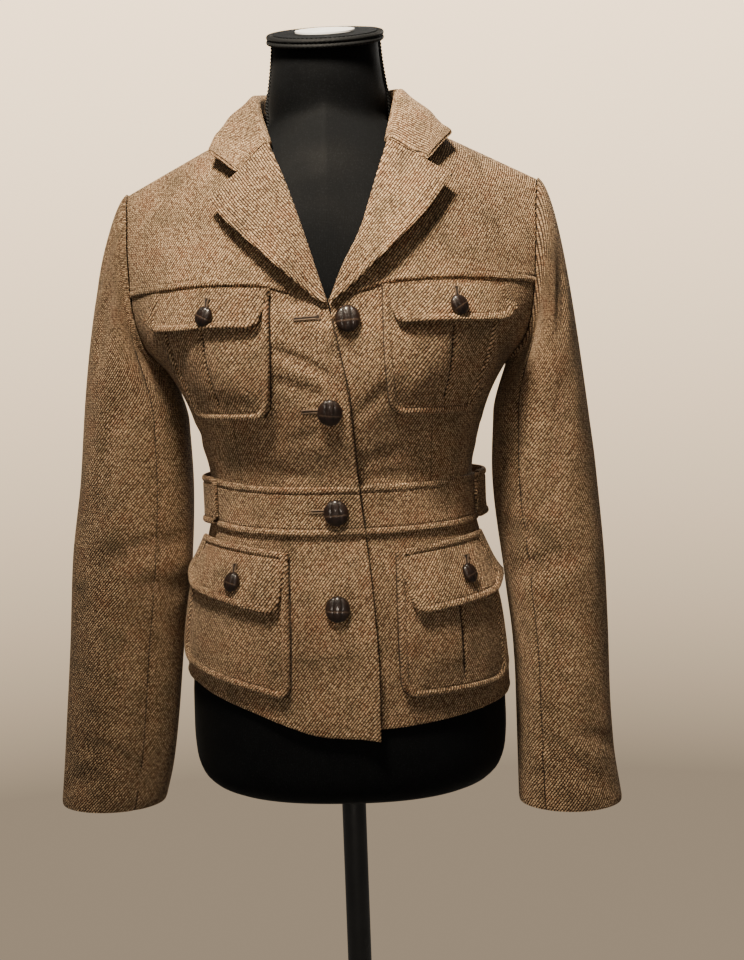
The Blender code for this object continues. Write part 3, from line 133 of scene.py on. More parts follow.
# Hem height round the body, by angle from the centre front
HEM_COLUMNS = ("angle", "height")
RIGHT_HEM_ROWS = (
    (-90.0, 0.868),
    (-62.0, 0.866),
    (-51.0, 0.861),
    (-30.0, 0.849),
    (-16.0, 0.838),
    (-4.0, 0.828),
    (11.0, 0.824),
)
LEFT_HEM_ROWS = (
    (-10.0, 0.834),
    (11.0, 0.833),
    (24.0, 0.835),
    (40.0, 0.838),
    (61.0, 0.841),
    (90.0, 0.842),
)
BACK_HEM_ROWS = ((90.0, 0.842), (180.0, 0.856), (270.0, 0.868))

# Lapels: fold line and free edge, from the break point up to the gorge
LAPEL_COLUMNS = ("share", "fold_x", "fold_z", "edge_x", "edge_z")
RIGHT_LAPEL_ROWS = (
    (0.00, 0.0015, 1.2010, -0.0060, 1.2020),
    (0.15, -0.0048, 1.2210, -0.0215, 1.2150),
    (0.45, -0.0190, 1.2670, -0.0510, 1.2420),
    (0.75, -0.0330, 1.3070, -0.0820, 1.2710),
    (1.00, -0.0470, 1.3400, -0.0960, 1.2885),
)
LEFT_LAPEL_ROWS = (
    (0.00, 0.0030, 1.2030, 0.0105, 1.2045),
    (0.15, 0.0120, 1.2270, 0.0310, 1.2220),
    (0.45, 0.0300, 1.2630, 0.0620, 1.2500),
    (0.75, 0.0430, 1.3050, 0.0890, 1.2790),
    (1.00, 0.0530, 1.3385, 0.1050, 1.3025),
)
RIGHT_NOTCH, LEFT_NOTCH = (-0.0730, 1.3130), (0.0850, 1.3175)
RIGHT_COLLAR_CORNER, LEFT_COLLAR_CORNER = (-0.0980, 1.3310), (0.1060, 1.3400)
FOLD_RADIUS, FOLD_RADIUS_AT_BREAK = 0.0040, 0.0024
LAPEL_LIFT = 0.0095
BREAK_LIFT, BREAK_FADE = CLOTH + 2.0 * LAY, 0.15
FOLD_SEAM = 0.0009
GORGE_GAP = 0.0005
TURN_ANGLES = np.radians(np.array([-90.0, -50.0, -10.0, 40.0, 90.0]))
FACE_SHARES = np.array([0.17, 0.36, 0.56, 0.78, 1.0])
FOLD_OPENING, LAPEL_OPENING = 0.35, 0.30
NOTCH_FROM, NOTCH_SHARE = 0.80, 0.56
YOKE_CORNER_RISE, YOKE_NECK_TURN, FOLD_SAMPLES = 0.002, 0.035, 60

# Collar behind the gorge: stand, fold and free edge, from the centre back forward
COLLAR_COLUMNS = ("stand_x", "stand_y", "seam_z", "fold_z", "edge_x", "edge_z", "edge_side")
FRONT, BACK = -1.0, 1.0
COLLAR_ROWS = (
    (0.0000, 0.0640, 1.3760, 1.4060, 0.0000, 1.3520, BACK),
    (0.0370, 0.0520, 1.3770, 1.4050, 0.0560, 1.3500, BACK),
    (0.0600, 0.0160, 1.3810, 1.4000, 0.0960, 1.3520, BACK),
    (0.0615, -0.0200, 1.3760, 1.3870, 0.1040, 1.3490, FRONT),
)
RIGHT_COLLAR_SPREAD, LEFT_COLLAR_SPREAD = 0.90, 0.97
COLLAR_EDGE_LIFT = 0.0080
COLLAR_FALL_BULGE = 0.0020
COLLAR_STAND_SHARES, COLLAR_FALL_SHARES = (0.0, 0.5), (0.17, 0.56, 0.78, 1.0)
COLLAR_TURN_ANGLES = np.radians(np.array([0.0, 45.0, 90.0, 135.0]))

# Sleeves: rings from the upper arm to the cuff
SLEEVE_COLUMNS = ("height", "inner_x", "outer_x", "centre_y", "half_depth")
RIGHT_SLEEVE_ROWS = (
    (0.742, 0.1810, 0.2765, -0.018, 0.0370),
    (0.775, 0.1730, 0.2735, -0.014, 0.0390),
    (0.817, 0.1670, 0.2700, -0.010, 0.0420),
    (0.892, 0.1590, 0.2635, -0.004, 0.0470),
    (0.973, 0.1480, 0.2575, 0.001, 0.0520),
    (1.049, 0.1445, 0.2460, 0.004, 0.0550),
    (1.100, 0.1460, 0.2400, 0.004, 0.0560),
)
LEFT_SLEEVE_ROWS = (
    (0.735, 0.1600, 0.2525, -0.018, 0.0370),
    (0.788, 0.1600, 0.2460, -0.012, 0.0400),
    (0.845, 0.1600, 0.2440, -0.007, 0.0440),
    (0.880, 0.1590, 0.2440, -0.004, 0.0460),
    (0.942, 0.1530, 0.2430, 0.000, 0.0500),
    (1.047, 0.1435, 0.2360, 0.004, 0.0550),
    (1.100, 0.1460, 0.2300, 0.004, 0.0560),
)
UPPER_ARM_Z = 1.100
FRONT_SLEEVE_SEAM, BACK_SLEEVE_SEAM = 0.343, 0.690
CAP_REACH, UNDERARM_REACH = 0.018, 0.009
UNDERARM_TURN = 0.9
ARMHOLE_SEAM = 0.0008
CAP_TOP_SLOPE, CAP_TOP_POWER, UNDERARM_POWER = 0.70, 3, 4
CAP_FALL, UNDERARM_FALL = 0.52, 0.40
FALL_STEP = 0.010
SMALL_TURN = 1.0e-3

# Patch pockets: edges at the top, middle and bottom; signs give the side
POCKET_COLUMNS = ("share", "height", "inner_x", "outer_x")
CHEST_POCKET_ROWS = (
    (0.0, 1.2130, 0.0480, 0.1490),
    (0.5, 1.1600, 0.0480, 0.1410),
    (1.0, 1.1060, 0.0500, 0.1230),
)
RIGHT_HIP_POCKET_ROWS = (
    (0.0, 0.9840, 0.0415, 0.1240),
    (0.5, 0.9250, 0.0415, 0.1400),
    (1.0, 0.8600, 0.0425, 0.1460),
)
LEFT_HIP_POCKET_ROWS = (
    (0.0, 0.9840, 0.0515, 0.1240),
    (0.5, 0.9250, 0.0515, 0.1400),
    (1.0, 0.8600, 0.0525, 0.1460),
)
CHEST_POCKET_BULGE, HIP_POCKET_BULGE = 0.0050, 0.0060
POCKET_CORNER = 0.014
RIGHT_HIP_RISE = 0.026
PLEAT_SHARE, PLEAT_DEPTH, PLEAT_WIDTH = 0.58, 0.0016, 0.0040
PLEAT_TOP, PLEAT_END = (0.25, 0.40), (0.80, 0.95)
POCKET_FULLNESS = 0.7

# Pocket flaps: upper and lower corners, and the button's place across and down each
FLAP_COLUMNS = ("top_inner_x", "top_inner_z", "top_outer_x", "top_outer_z", "low_inner_x", "low_inner_z",
                "low_outer_x", "low_outer_z", "button_across", "button_down")
RIGHT_CHEST_FLAP = (0.0465, 1.2140, 0.1500, 1.2130, 0.0540, 1.1780, 0.1560, 1.1840, 0.46, 0.68)
LEFT_CHEST_FLAP = (0.0470, 1.2140, 0.1500, 1.2130, 0.0560, 1.1780, 0.1560, 1.1840, 0.54, 0.60)
RIGHT_HIP_FLAP = (0.0405, 0.9870, 0.1205, 0.9980, 0.0485, 0.9330, 0.1370, 0.9530, 0.48, 0.64)
LEFT_HIP_FLAP = (0.0500, 0.9865, 0.1230, 0.9945, 0.0615, 0.9310, 0.1395, 0.9400, 0.66, 0.58)
FLAP_CORNER = 0.013
FLAP_STAND_OFF = 0.0012

# Belt round the waist
BELT_LOW, BELT_HIGH = 1.0010, 1.0445
BELT_LIFT = LAY + DOUBLE_CLOTH
BELT_RISE_COLUMNS = ("angle", "rise")
BELT_RISE_ROWS = (
    (-62.0, 0.0065),
    (-30.0, 0.0016),
    (0.0, 0.0),
    (45.0, 0.0008),
    (80.0, 0.0025),
    (180.0, 0.0040),
    (298.0, 0.0065),
)
RIGHT_TAB_ANGLE, LEFT_TAB_ANGLE = -62.0, 80.0
RIGHT_BELT_BULGE, LEFT_BELT_BULGE, BACK_BELT_BULGE_SPREAD = 0.0010, 0.0060, 26.0
BACK_BELT_OVERLAP = 5.0
BACK_BELT_EASE = 0.0006
BACK_BELT_LOW_RISE, BACK_BELT_HIGH_RISE = 0.001, 0.002
BACK_BELT_STEP = (9.0, 45.0)
BACK_BELT_BULGE_ANGLE, BACK_BELT_FLAT_END = 22.0, 14.0

# Buttons: name, x, height and lift of the cloth below each front button
FRONT_BUTTON_RADIUS, FLAP_BUTTON_RADIUS = 0.0115, 0.0090
BUTTON_THICKNESS = 0.0070
BUTTON_REACH = 0.6
BUTTON_SEAT = 0.0007
FRONT_BUTTONS = (
    ("front_button_1", 0.0180, 1.1870, 0.0),
    ("front_button_2", 0.0000, 1.1100, LAP_LIFT),
    ("front_button_3", 0.0010, 1.0220, LAP_LIFT + BELT_LIFT),
    ("front_button_4", 0.0000, 0.9390, LAP_LIFT),
)

# Dress form
FORM_CLEARANCE_COLUMNS = ("height", "clearance", "at_side")
FORM_CLEARANCE_ROWS = (
    (0.740, 0.0035, 0.0),
    (0.850, 0.0048, 0.0),
    (0.900, 0.0065, 0.0),
    (1.020, 0.0060, 0.0),
    (1.100, 0.0080, 0.0),
    (1.140, 0.0110, 0.0),
    (1.180, 0.0110, 0.0),
    (1.215, 0.0065, 0.002),
    (1.250, 0.0048, 0.006),
    (1.290, 0.0033, 0.014),
    (1.320, 0.0022, 0.016),
    (1.420, 0.0022, 0.016),
)
SIDE_POWER = 6
FORM_HEIGHTS = (0.764, 0.774, 0.790, 0.815, 0.850, 0.890, 0.930, 0.965, 0.995, 1.020, 1.050, 1.080, 1.110,
                1.140, 1.165, 1.190, 1.220, 1.250, 1.280, 1.300, 1.316, 1.330, 1.343, 1.356, 1.370, 1.385,
                1.405, 1.428, 1.450)
FORM_BOTTOM_Z = 0.760
FORM_BOTTOM_COLUMNS = ("height", "scale")
FORM_BOTTOM_ROWS = ((0.760, 0.84), (0.764, 0.895), (0.774, 0.955), (0.790, 0.988), (0.815, 1.0), (1.450, 1.0))
NECK_COLUMNS = ("height", "half_width", "half_depth", "centre_y")
NECK_ROWS = (
    (1.300, 0.0520, 0.0480, 0.008),
    (1.343, 0.0530, 0.0500, 0.006),
    (1.385, 0.0550, 0.0515, 0.002),
    (1.405, 0.0515, 0.0500, -0.002),
    (1.428, 0.0485, 0.0480, -0.005),
    (1.450, 0.0472, 0.0465, -0.008),
)
NECK_CENTRE_Y = NECK_ROWS[-1][3]
NECK_BLEND = 20.0
NECK_TILT_FROM, NECK_TOP_Z = 1.385, 1.450
NECK_TILT = math.radians(20.0)
FORM_SHOULDER_DROP, FORM_DROP_EDGES = 0.0029, (1.24, 1.30)
SEARCH_RADIUS, SEARCH_STEPS, LEAST_RADIUS = 0.30, 40, 0.001
TRIM_HALF_HEIGHT, TRIM_HALF_THICKNESS = 0.0042, 0.0026
TRIM_GAP, TRIM_TOP_DROP, TRIM_READ_DROP = 0.0009, 0.0005, 0.006
CORE_HALF_WIDTH, CORE_HALF_DEPTH, CORE_THICKNESS = 0.0270, 0.0240, 0.0016
CORE_BEVEL, POLE_BEVEL, BEVEL_STEPS = 0.0005, 0.0008, 3
POLE_RADIUS = 0.0115
BASE_RADIUS, BASE_RIM, BASE_RISE = 0.170, 0.010, 0.012
BASE_STEPS = ((0.004, 0.0020), (0.060, 0.0028), (0.050, 0.0032), (0.026, 0.0028), (0.008, 0.0012))

# Fine steps of the cloth grids
CLOTH_STEP, POCKET_STEP, LEAST_STEP = 0.0032, 0.0026, 0.00035
EDGE_STEPS = (0.0, 0.0005, 0.0012, 0.0022, 0.0032, 0.0042, 0.0052, 0.0060, 0.0068, 0.0078, 0.0095)
MARK_STEPS = (-0.0060, -0.0040, -0.0025, -0.0015, -0.0008, -0.0003,
              0.0003, 0.0008, 0.0015, 0.0025, 0.0040, 0.0060)
FRONT_SPAN, YOKE_WIDTH, YOKE_SPAN, LAPEL_SPAN, LAPEL_FACE = 0.200, 0.150, 0.145, 0.145, 0.060
FRONT_BELT_SPAN, BACK_BELT_SPAN, WAIST_RADIUS = 0.165, 0.380, 0.105
FRONT_ROWS_FINE, YOKE_ROWS_FINE = 128, 50
BACK_COLUMNS_FINE, BACK_ROWS_FINE = 132, 150
CAP_ROWS_FINE, TUBE_ROWS_FINE, UPPER_COLUMNS_FINE, UNDER_COLUMNS_FINE = 56, 118, 66, 36
COLLAR_COUNT_FINE, COLLAR_SECTION_FINE, FOLD_STEPS = 150, 40, 13
OUTLINE_POINTS, PLACE_STEPS = 60, 12

# Sewn edges
WELT_WIDTH, WELT_RISE, DITCH_DEPTH, DITCH_WIDTH = 0.0060, 0.0007, 0.0009, 0.0009
RIM_DROP, RIM_WIDTH = 0.0006, 0.0008
FRONT_WELT_RISE, LAPEL_WELT_RISE = 0.0005, 0.0002
POCKET_WELT_RISE = 0.0018
YOKE_LAP, YOKE_TUCK, YOKE_NECK_FADE = 0.0008, 0.0006, 0.015
LAPEL_STAND, POCKET_EDGE_LIFT = 0.0050, 0.0018
FLAP_CURL, FLAP_CURL_POWER, FLAP_WELT_RISE = 0.0030, 4, 0.0013
FRONT_EDGE_LIFT, FRONT_EDGE_REACH, FRONT_EDGE_FADE = 0.0042, 0.021, 0.012
FRONT_LIP, FRONT_LIP_WIDTH = 0.0016, 0.0018
# Dark strips of painted shade along folds, seams, ditches, the dart and the front edge
FOLD_STRIP, SEAM_STRIP, STRIP_RISE, PLEAT_SINK, SEAM_FROM = 0.00042, 0.00034, 0.0005, 0.0007, 0.35
DITCH_STRIP, EDGE_STRIP_AWAY, POCKET_STRIP_AWAY, STRIP_END = 0.00026, 0.0008, 0.0006, 0.0015
DART_STRIP = 0.00022
STRIP_PACES, STRIP_MEAN, STRIP_SWAY, STRIP_TUBE = (95.0, 231.0, 520.0), 0.75, 0.65, 0.70
YOKE_STITCH_ENDS = (0.024, 0.172)
DART_COLUMNS = ("height", "x")
DART_FADE, DART_DEPTH, DART_WIDTH = 0.012, 0.0007, 0.0011
WAIST_DART = ((1.030, 0.0830), (1.075, 0.0850), (1.110, 0.0870))
SLEEVE_GIRTH, CAP_LENGTH, SLEEVE_FOLD_FADE, FRONT_MIDDLE = 0.320, 0.120, 0.030, 0.25
SLEEVE_FOLD_DEPTH = 1.6
SLEEVE_DITCH, SLEEVE_DITCH_WIDTH, SHOWN_SEAM = 0.0010, 0.0018, 0.0001
LAPEL_ROLL = 0.0012
PLEAT_SLIT_DEPTH, PLEAT_SLIT_WIDTH, PLEAT_LAP, PLEAT_LAP_WIDTH = 0.0042, 0.0007, 0.0010, 0.0050
TAB_CORNER = 0.008
ROUND_POWER = 1.4
POCKET_CLOTH_SHIFT, FLAP_CLOTH_SHIFT, BELT_CLOTH_SHIFT = (0.31, 0.17), (0.53, 0.29), (0.77, 0.41)

# Creases: middle, turn in degrees, half length, half width, depth and bow
CREASE_COLUMNS = ("across", "up", "turn", "length", "width", "depth", "bow")
RIGHT_FRONT_FOLDS = (
    (-0.022, 1.152, -27.0, 0.030, 0.0060, 0.0030, 2.0),
    (-0.030, 1.132, -20.0, 0.026, 0.0075, 0.0022, 1.0),
    (-0.016, 1.090, 14.0, 0.020, 0.0070, 0.0010, 0.0),
    (-0.066, 1.064, -9.0, 0.034, 0.0075, 0.0013, 2.0),
    (-0.038, 1.055, -3.0, 0.026, 0.0060, 0.0010, 0.0),
    (-0.020, 0.900, 84.0, 0.044, 0.0120, 0.0014, 0.0),
    (0.014, 0.880, 96.0, 0.036, 0.0100, 0.0010, 0.0),
    (-0.128, 1.090, 40.0, 0.034, 0.0090, 0.0014, 1.0),
)
LEFT_FRONT_FOLDS = (
    (0.052, 1.072, 16.0, 0.034, 0.0075, 0.0012, -2.0),
    (0.046, 1.052, 6.0, 0.026, 0.0060, 0.0010, 0.0),
    (0.040, 1.120, 38.0, 0.024, 0.0080, 0.0016, 0.0),
    (0.046, 0.890, 93.0, 0.046, 0.0120, 0.0013, 0.0),
    (0.128, 1.085, -42.0, 0.032, 0.0090, 0.0013, 1.0),
)
RIGHT_YOKE_FOLDS = (
    (-0.150, 1.250, 78.0, 0.040, 0.0120, 0.0012, 0.0),
    (-0.120, 1.262, 64.0, 0.030, 0.0100, 0.0008, 0.0),
)
LEFT_YOKE_FOLDS = (
    (0.152, 1.248, -80.0, 0.038, 0.0110, 0.0011, 0.0),
    (0.124, 1.270, -60.0, 0.026, 0.0100, 0.0008, 0.0),
)
BACK_FOLDS = (
    (-0.040, 1.070, 12.0, 0.050, 0.0080, 0.0014, 2.0),
    (0.050, 1.080, -9.0, 0.044, 0.0090, 0.0012, -1.0),
    (0.010, 1.058, 3.0, 0.060, 0.0060, 0.0010, 0.0),
    (-0.105, 1.130, -48.0, 0.044, 0.0100, 0.0014, 1.0),
    (0.110, 1.128, 50.0, 0.040, 0.0110, 0.0014, -1.0),
    (-0.045, 0.920, 86.0, 0.050, 0.0130, 0.0014, 0.0),
    (0.060, 0.910, 95.0, 0.046, 0.0120, 0.0012, 0.0),
)
RIGHT_SLEEVE_FOLDS = (
    (0.085, 0.792, -30.0, 0.036, 0.0120, 0.0022, 3.0),
    (0.050, 0.770, 24.0, 0.030, 0.0110, 0.0018, 2.0),
    (0.102, 0.764, -12.0, 0.024, 0.0095, 0.0011, 0.0),
    (0.090, 0.985, 14.0, 0.046, 0.0150, 0.0017, 2.0),
    (0.112, 0.950, -12.0, 0.036, 0.0140, 0.0014, 0.0),
    (0.066, 1.070, 76.0, 0.064, 0.0150, 0.0018, 0.0),
    (0.088, 0.875, 86.0, 0.062, 0.0150, 0.0015, 0.0),
    (0.038, 1.250, 70.0, 0.030, 0.0120, 0.0020, 0.0),
    (0.056, 1.190, 76.0, 0.038, 0.0130, 0.0018, 0.0),
    (0.215, 0.960, -20.0, 0.038, 0.0130, 0.0022, 0.0),
    (0.230, 0.990, 12.0, 0.032, 0.0120, 0.0018, 0.0),
    (0.250, 1.110, 70.0, 0.046, 0.0140, 0.0018, 0.0),
)
LEFT_SLEEVE_FOLDS = (
    (0.078, 0.776, 38.0, 0.042, 0.0125, 0.0024, -2.0),
    (0.050, 0.800, 20.0, 0.030, 0.0110, 0.0016, 0.0),
    (0.104, 0.768, -10.0, 0.022, 0.0095, 0.0010, 0.0),
    (0.094, 0.965, -16.0, 0.042, 0.0145, 0.0017, 2.0),
    (0.114, 0.992, 12.0, 0.034, 0.0135, 0.0013, 0.0),
    (0.068, 1.080, 102.0, 0.060, 0.0150, 0.0017, 0.0),
    (0.086, 0.880, 95.0, 0.062, 0.0150, 0.0015, 0.0),
    (0.052, 1.200, 104.0, 0.038, 0.0130, 0.0018, 0.0),
    (0.220, 0.965, 18.0, 0.036, 0.0130, 0.0020, 0.0),
    (0.236, 1.000, -10.0, 0.030, 0.0120, 0.0018, 0.0),
    (0.248, 1.100, 105.0, 0.044, 0.0140, 0.0016, 0.0),
)
CHEST_POCKET_FOLDS = (
    (0.072, 1.150, 60.0, 0.024, 0.0080, 0.0011, 0.0),
    (0.122, 1.160, 112.0, 0.026, 0.0080, 0.0012, 0.0),
    (0.088, 1.122, 8.0, 0.022, 0.0060, 0.0008, 0.0),
)
HIP_POCKET_FOLDS = (
    (0.074, 0.905, 70.0, 0.030, 0.0090, 0.0014, 0.0),
    (0.112, 0.900, 98.0, 0.030, 0.0100, 0.0013, 0.0),
    (0.094, 0.882, 12.0, 0.024, 0.0070, 0.0008, 0.0),
)
BELT_FOLDS = (
    (-0.045, 1.024, 80.0, 0.018, 0.0060, 0.0005, 0.0),
    (0.060, 1.022, 96.0, 0.018, 0.0060, 0.0005, 0.0),
)

# Buttonholes: middle, turn in degrees and half length; then their lips, slits and the stitches
BUTTONHOLE_COLUMNS = ("x", "z", "turn", "half_length")
FRONT_BUTTONHOLES = (
    (-0.0165, 1.1885, 3.0, 0.0110),
    (-0.0120, 1.1110, 0.0, 0.0120),
)
BELT_BUTTONHOLE = (-0.0090, 1.0235, 0.0, 0.0115)
FLAP_BUTTONHOLE_RISE, FLAP_BUTTONHOLE_HALF = 0.0070, 0.0090
LIP_RADIUS, LIP_GAP, LIP_RISE = 0.0008, 0.0011, 0.0004
SLIT_RADIUS, SLIT_GAP, SLIT_RISE = 0.0008, 0.0002, 0.0002
HOLE_POINTS, HOLE_ENDS, HOLE_SIDES, EYE_WIDENING, EYE_EDGES = 72, 1.25, 1.6, 0.9, (0.55, 0.95)
STITCH_LENGTH, STITCH_PITCH, STITCH_RADIUS, STITCH_RISE = 0.0024, 0.0033, 0.00028, 0.00012
STITCH_START, STITCH_LOOK, STITCH_TIP = 0.15, 0.0005, 0.05
STITCH_SECTIONS = ((0.0, 0.0), (0.2, 0.85), (0.5, 1.0), (0.8, 0.85), (1.0, 0.0))

# Fine shapes of the buttons, the form and its stand
BUTTON_SEAT_DEPTH, BUTTON_SEAM_X, BUTTON_SEAM_DEPTH, BUTTON_SEAM_WIDTH = 0.0022, 0.36, 0.0005, 0.050
BUTTON_LINE_WIDTH, BUTTON_LINE_DROP, FRONT_BUTTON_NARROW, FLAP_BUTTON_NARROW = 0.045, 0.16, 0.94, 0.86
BUTTON_SEGMENTS, BUTTON_RINGS, BUTTON_SEAM_BOW, BUTTON_SEAM_LOW = 56, 36, 0.25, -0.2
BUTTON_PUFF, BUTTON_PUFF_REACH, BUTTON_FLATNESS, BUTTON_LINE_DEPTH = 0.03, 2.8, 0.86, 0.00025
FORM_SEGMENTS, FORM_STEPS = 128, 3
CORE_SEGMENTS, BASE_SEGMENTS, POLE_SEGMENTS = 96, 128, 64
BRAID_TWIST, BRAID_DEPTH, BRAID_SEGMENTS, BRAID_SIDES, BRAID_START = 44, 0.22, 300, 14, 0.25
RUN_TURNS, RUN_LOW_Z, RUN_RADIUS, RUN_PITCH, RUN_RINGS = (-1.54, 1.54), 1.352, 0.0019, 0.0030, 160

# Camera
CAMERA_DISTANCE, CAMERA_AZIMUTH, CAMERA_HEIGHT, CAMERA_ROLL = 1.15, 4.0, 1.148, 2.0
CAMERA_TARGET = (0.0282, 0.0020, 1.0399)
FOCAL_PIXELS, SENSOR, CAMERA_NEAR = 1223.0, 36.0, 0.01

# Weave, grain and linear colours
TWILL_PITCH, TWILL_STEEPNESS, TWILL_DRIFT, TWILL_JITTER = 0.0028, 0.80, 0.50, 0.45
YARN_FLOAT = 0.0032
DRIFT_SCALE, JITTER_SCALE, HEATHER_SCALE, PATCH_SCALE, BROAD_SCALE = 42.0, 520.0, 1300.0, 34.0, 11.0
YARN_PACE, YARN_LEAN, RIB_SHIFT, FLOAT_SHIFT, FLOAT_SWAY = 330.0, 0.75, 0.73, 0.37, 0.6
GROOVE_EDGES, FLOAT_EDGES, YARN_EDGES = (0.28, 0.86), (0.45, 0.95), (0.36, 0.62)
GROOVE_SHARE, GAP_SHARE = 0.95, 0.50
GROOVE_SINK, GAP_SINK, HEATHER_RISE = 0.70, 0.30, 0.30
CLOUD_EDGES, ROUGH_EDGES = (0.3, 0.7), (0.2, 0.8)
HIDE_GRAIN_SCALE, HIDE_CLOUD_SCALE = 1500.0, 180.0
KNIT_RADIUS, KNIT_RIB, KNIT_SLANT, KNIT_STITCH = 0.11, 0.0016, 0.0012, 0.0013
KNIT_CLOUD_SCALE, KNIT_SPECK_SCALE = 22.0, 900.0
CLOUD_TO_GRAIN, FLOOR_CLOUD_SCALE = 18.0, 3.0
TWEED_TAN, TWEED_BROWN = (0.755, 0.525, 0.312, 1.0), (0.205, 0.114, 0.062, 1.0)
TWEED_DARK, TWEED_RUST = (0.016, 0.008, 0.005, 1.0), (0.270, 0.105, 0.052, 1.0)
TWEED_OLIVE, TWEED_SHEEN = (0.165, 0.134, 0.080, 1.0), (0.80, 0.66, 0.52, 1.0)
LEATHER_DARK, LEATHER_BROWN = (0.009, 0.0038, 0.0024, 1.0), (0.019, 0.0082, 0.0050, 1.0)
LEATHER_SEAM, LEATHER_LINE = (0.004, 0.002, 0.001, 1.0), (0.210, 0.135, 0.088, 1.0)
COVER_BLACK, COVER_GREY = (0.0018, 0.0022, 0.0027, 1.0), (0.0034, 0.0040, 0.0048, 1.0)
COVER_SPECK = (0.0120, 0.0135, 0.0155, 1.0)
CORE_WHITE, CORE_GREY = (0.820, 0.820, 0.810, 1.0), (0.700, 0.700, 0.690, 1.0)
METAL_BLACK, METAL_GREY = (0.010, 0.010, 0.011, 1.0), (0.018, 0.018, 0.019, 1.0)
THREAD_BROWN, THREAD_TAN = (0.095, 0.058, 0.034, 1.0), (0.190, 0.125, 0.075, 1.0)
# Painted shade in buttonhole slits and pleat folds
SLIT_SHADE_DARK, SLIT_SHADE_BROWN = (0.012, 0.006, 0.003, 1.0), (0.022, 0.011, 0.006, 1.0)
# Painted shade in the strips along edges, seams, ditches and the dart
SHADE_DARK, SHADE_BROWN = (0.016, 0.009, 0.005, 1.0), (0.060, 0.036, 0.021, 1.0)
FLOOR_PALE, FLOOR_WARM = (0.700, 0.665, 0.605, 1.0), (0.670, 0.635, 0.575, 1.0)

# Floor, backdrop and lights
SOFT_LIGHT, SOFT_STRENGTH = (0.95, 0.86, 0.74, 1.0), 0.17
# Backdrop seen only by the camera, with painted light falloff from the bright top to the dark bottom
BACKDROP_HIGH, BACKDROP_LOW = (3.00, 2.25, 1.45, 1.0), (0.36, 0.28, 0.195, 1.0)
BACKDROP_FROM, BACKDROP_TO = -0.32, 0.28
FLOOR_FADE, FLOOR_SIZE, FLOOR_DROP = (0.5, 1.1), 14.0, 0.0005
LIGHT_COLUMNS = ("name", "spot", "aim", "size", "spread", "power", "colour")
LIGHTS = (
    ("key", (-0.18, -0.61, 2.24), (0.0, -0.12, 1.44), 0.24, 42.0, 3.0, (1.0, 0.87, 0.69)),
    ("fill", (0.0, -2.4, 1.2), (0.0, 0.0, 1.06), 1.6, 180.0, 3.0, (1.0, 0.88, 0.75)),
    ("middle_fill", (-0.1, -2.3, 1.2), (-0.02, -0.1, 1.03), 0.3, 15.0, 0.080, (1.0, 0.87, 0.73)),
    ("back_light", (0.6, 2.2, 2.2), (0.0, 0.0, 1.10), 1.6, 180.0, 40.0, (1.0, 0.95, 0.88)),
)

# Turn of each button in degrees
BUTTON_TURNS = {
    "front_button_1": 4.0, "front_button_2": -6.0, "front_button_3": 3.0, "front_button_4": -3.0,
    "chest_flap_button_right": -24.0, "chest_flap_button_left": 30.0,
    "hip_flap_button_right": -12.0, "hip_flap_button_left": 16.0,
}

RIGHT, LEFT = -1.0, 1.0
WORDS = {RIGHT: "right", LEFT: "left"}


def column(rows, columns, name, at):
    """Smooth value of a table's named column at the given first-column value."""
    table = np.array(rows, dtype=float)
    keys, values = table[:, 0], table[:, columns.index(name)]
    widths = np.diff(keys)
    slopes = np.diff(values) / widths
    tangents = np.empty(len(keys))
    tangents[0], tangents[-1] = slopes[0], slopes[-1]
    product = slopes[:-1] * slopes[1:]
    total = slopes[:-1] + slopes[1:]
    safe_total = np.where(np.abs(total) > 0, total, 1.0)
    tangents[1:-1] = np.where(product > 0, 2.0 * product / safe_total, 0.0)
    at = np.clip(at, keys[0], keys[-1])
    k = np.clip(np.searchsorted(keys, at) - 1, 0, len(keys) - 2)
    share = (at - keys[k]) / widths[k]
    rest = 1.0 - share
    near = (1.0 + 2.0 * share) * values[k] + share * widths[k] * tangents[k]
    far = (3.0 - 2.0 * share) * values[k + 1] - rest * widths[k] * tangents[k + 1]
    return rest ** 2 * near + share ** 2 * far


def ease(low, high, value):
    """Smooth step from 0 at low to 1 at high."""
    share = np.clip((value - low) / (high - low), 0.0, 1.0)
    return share * share * (3.0 - 2.0 * share)


def between(first, last, share):
    """Value a share of the way from the first to the last."""
    return first + (last - first) * share


def bell(distance, width):
    """Soft hump, 1 where the distance is none and fading over the width."""
    return np.exp(-(distance / width) ** 2)


def together(*parts):
    """Values side by side along a new last axis."""
    return np.stack(parts, axis=-1)


def unit(vectors):
    """Vectors of the same directions and of length one."""
    return vectors / np.linalg.norm(vectors, axis=-1, keepdims=True)


def signed_power(value, power):
    return np.sign(value) * np.abs(value) ** power


def body_size(name, height):
    return column(BODY_ROWS, BODY_COLUMNS, name, height)


def yoke_height(x):
    return column(YOKE_ROWS, YOKE_COLUMNS, "height", x)


def front_edge_x(rows, height):
    return column(rows, EDGE_COLUMNS, "x", height)


def hem_height(rows, angle):
    return column(rows, HEM_COLUMNS, "height", np.degrees(angle))


def lapel_line(rows, name, shares):
    return column(rows, LAPEL_COLUMNS, name, shares)


def belt_rise(angle):
    return column(BELT_RISE_ROWS, BELT_RISE_COLUMNS, "rise", np.degrees(angle))


def armhole_angle(height):
    return np.radians(column(ARMHOLE_ROWS, ARMHOLE_COLUMNS, "angle", height))


def ridge_height(x):
    """Height of the shoulder line at a distance from the centre."""
    return NECK_POINT_Z - SHOULDER_SLOPE * (np.abs(x) - NECK_POINT_X)


def rounding(depth_below_ridge, reach):
    """Share of the full depth reached below the shoulder line."""
    rest = 1.0 - np.clip(depth_below_ridge / reach, 0.0, 1.0)
    return np.sqrt(1.0 - rest ** 2)


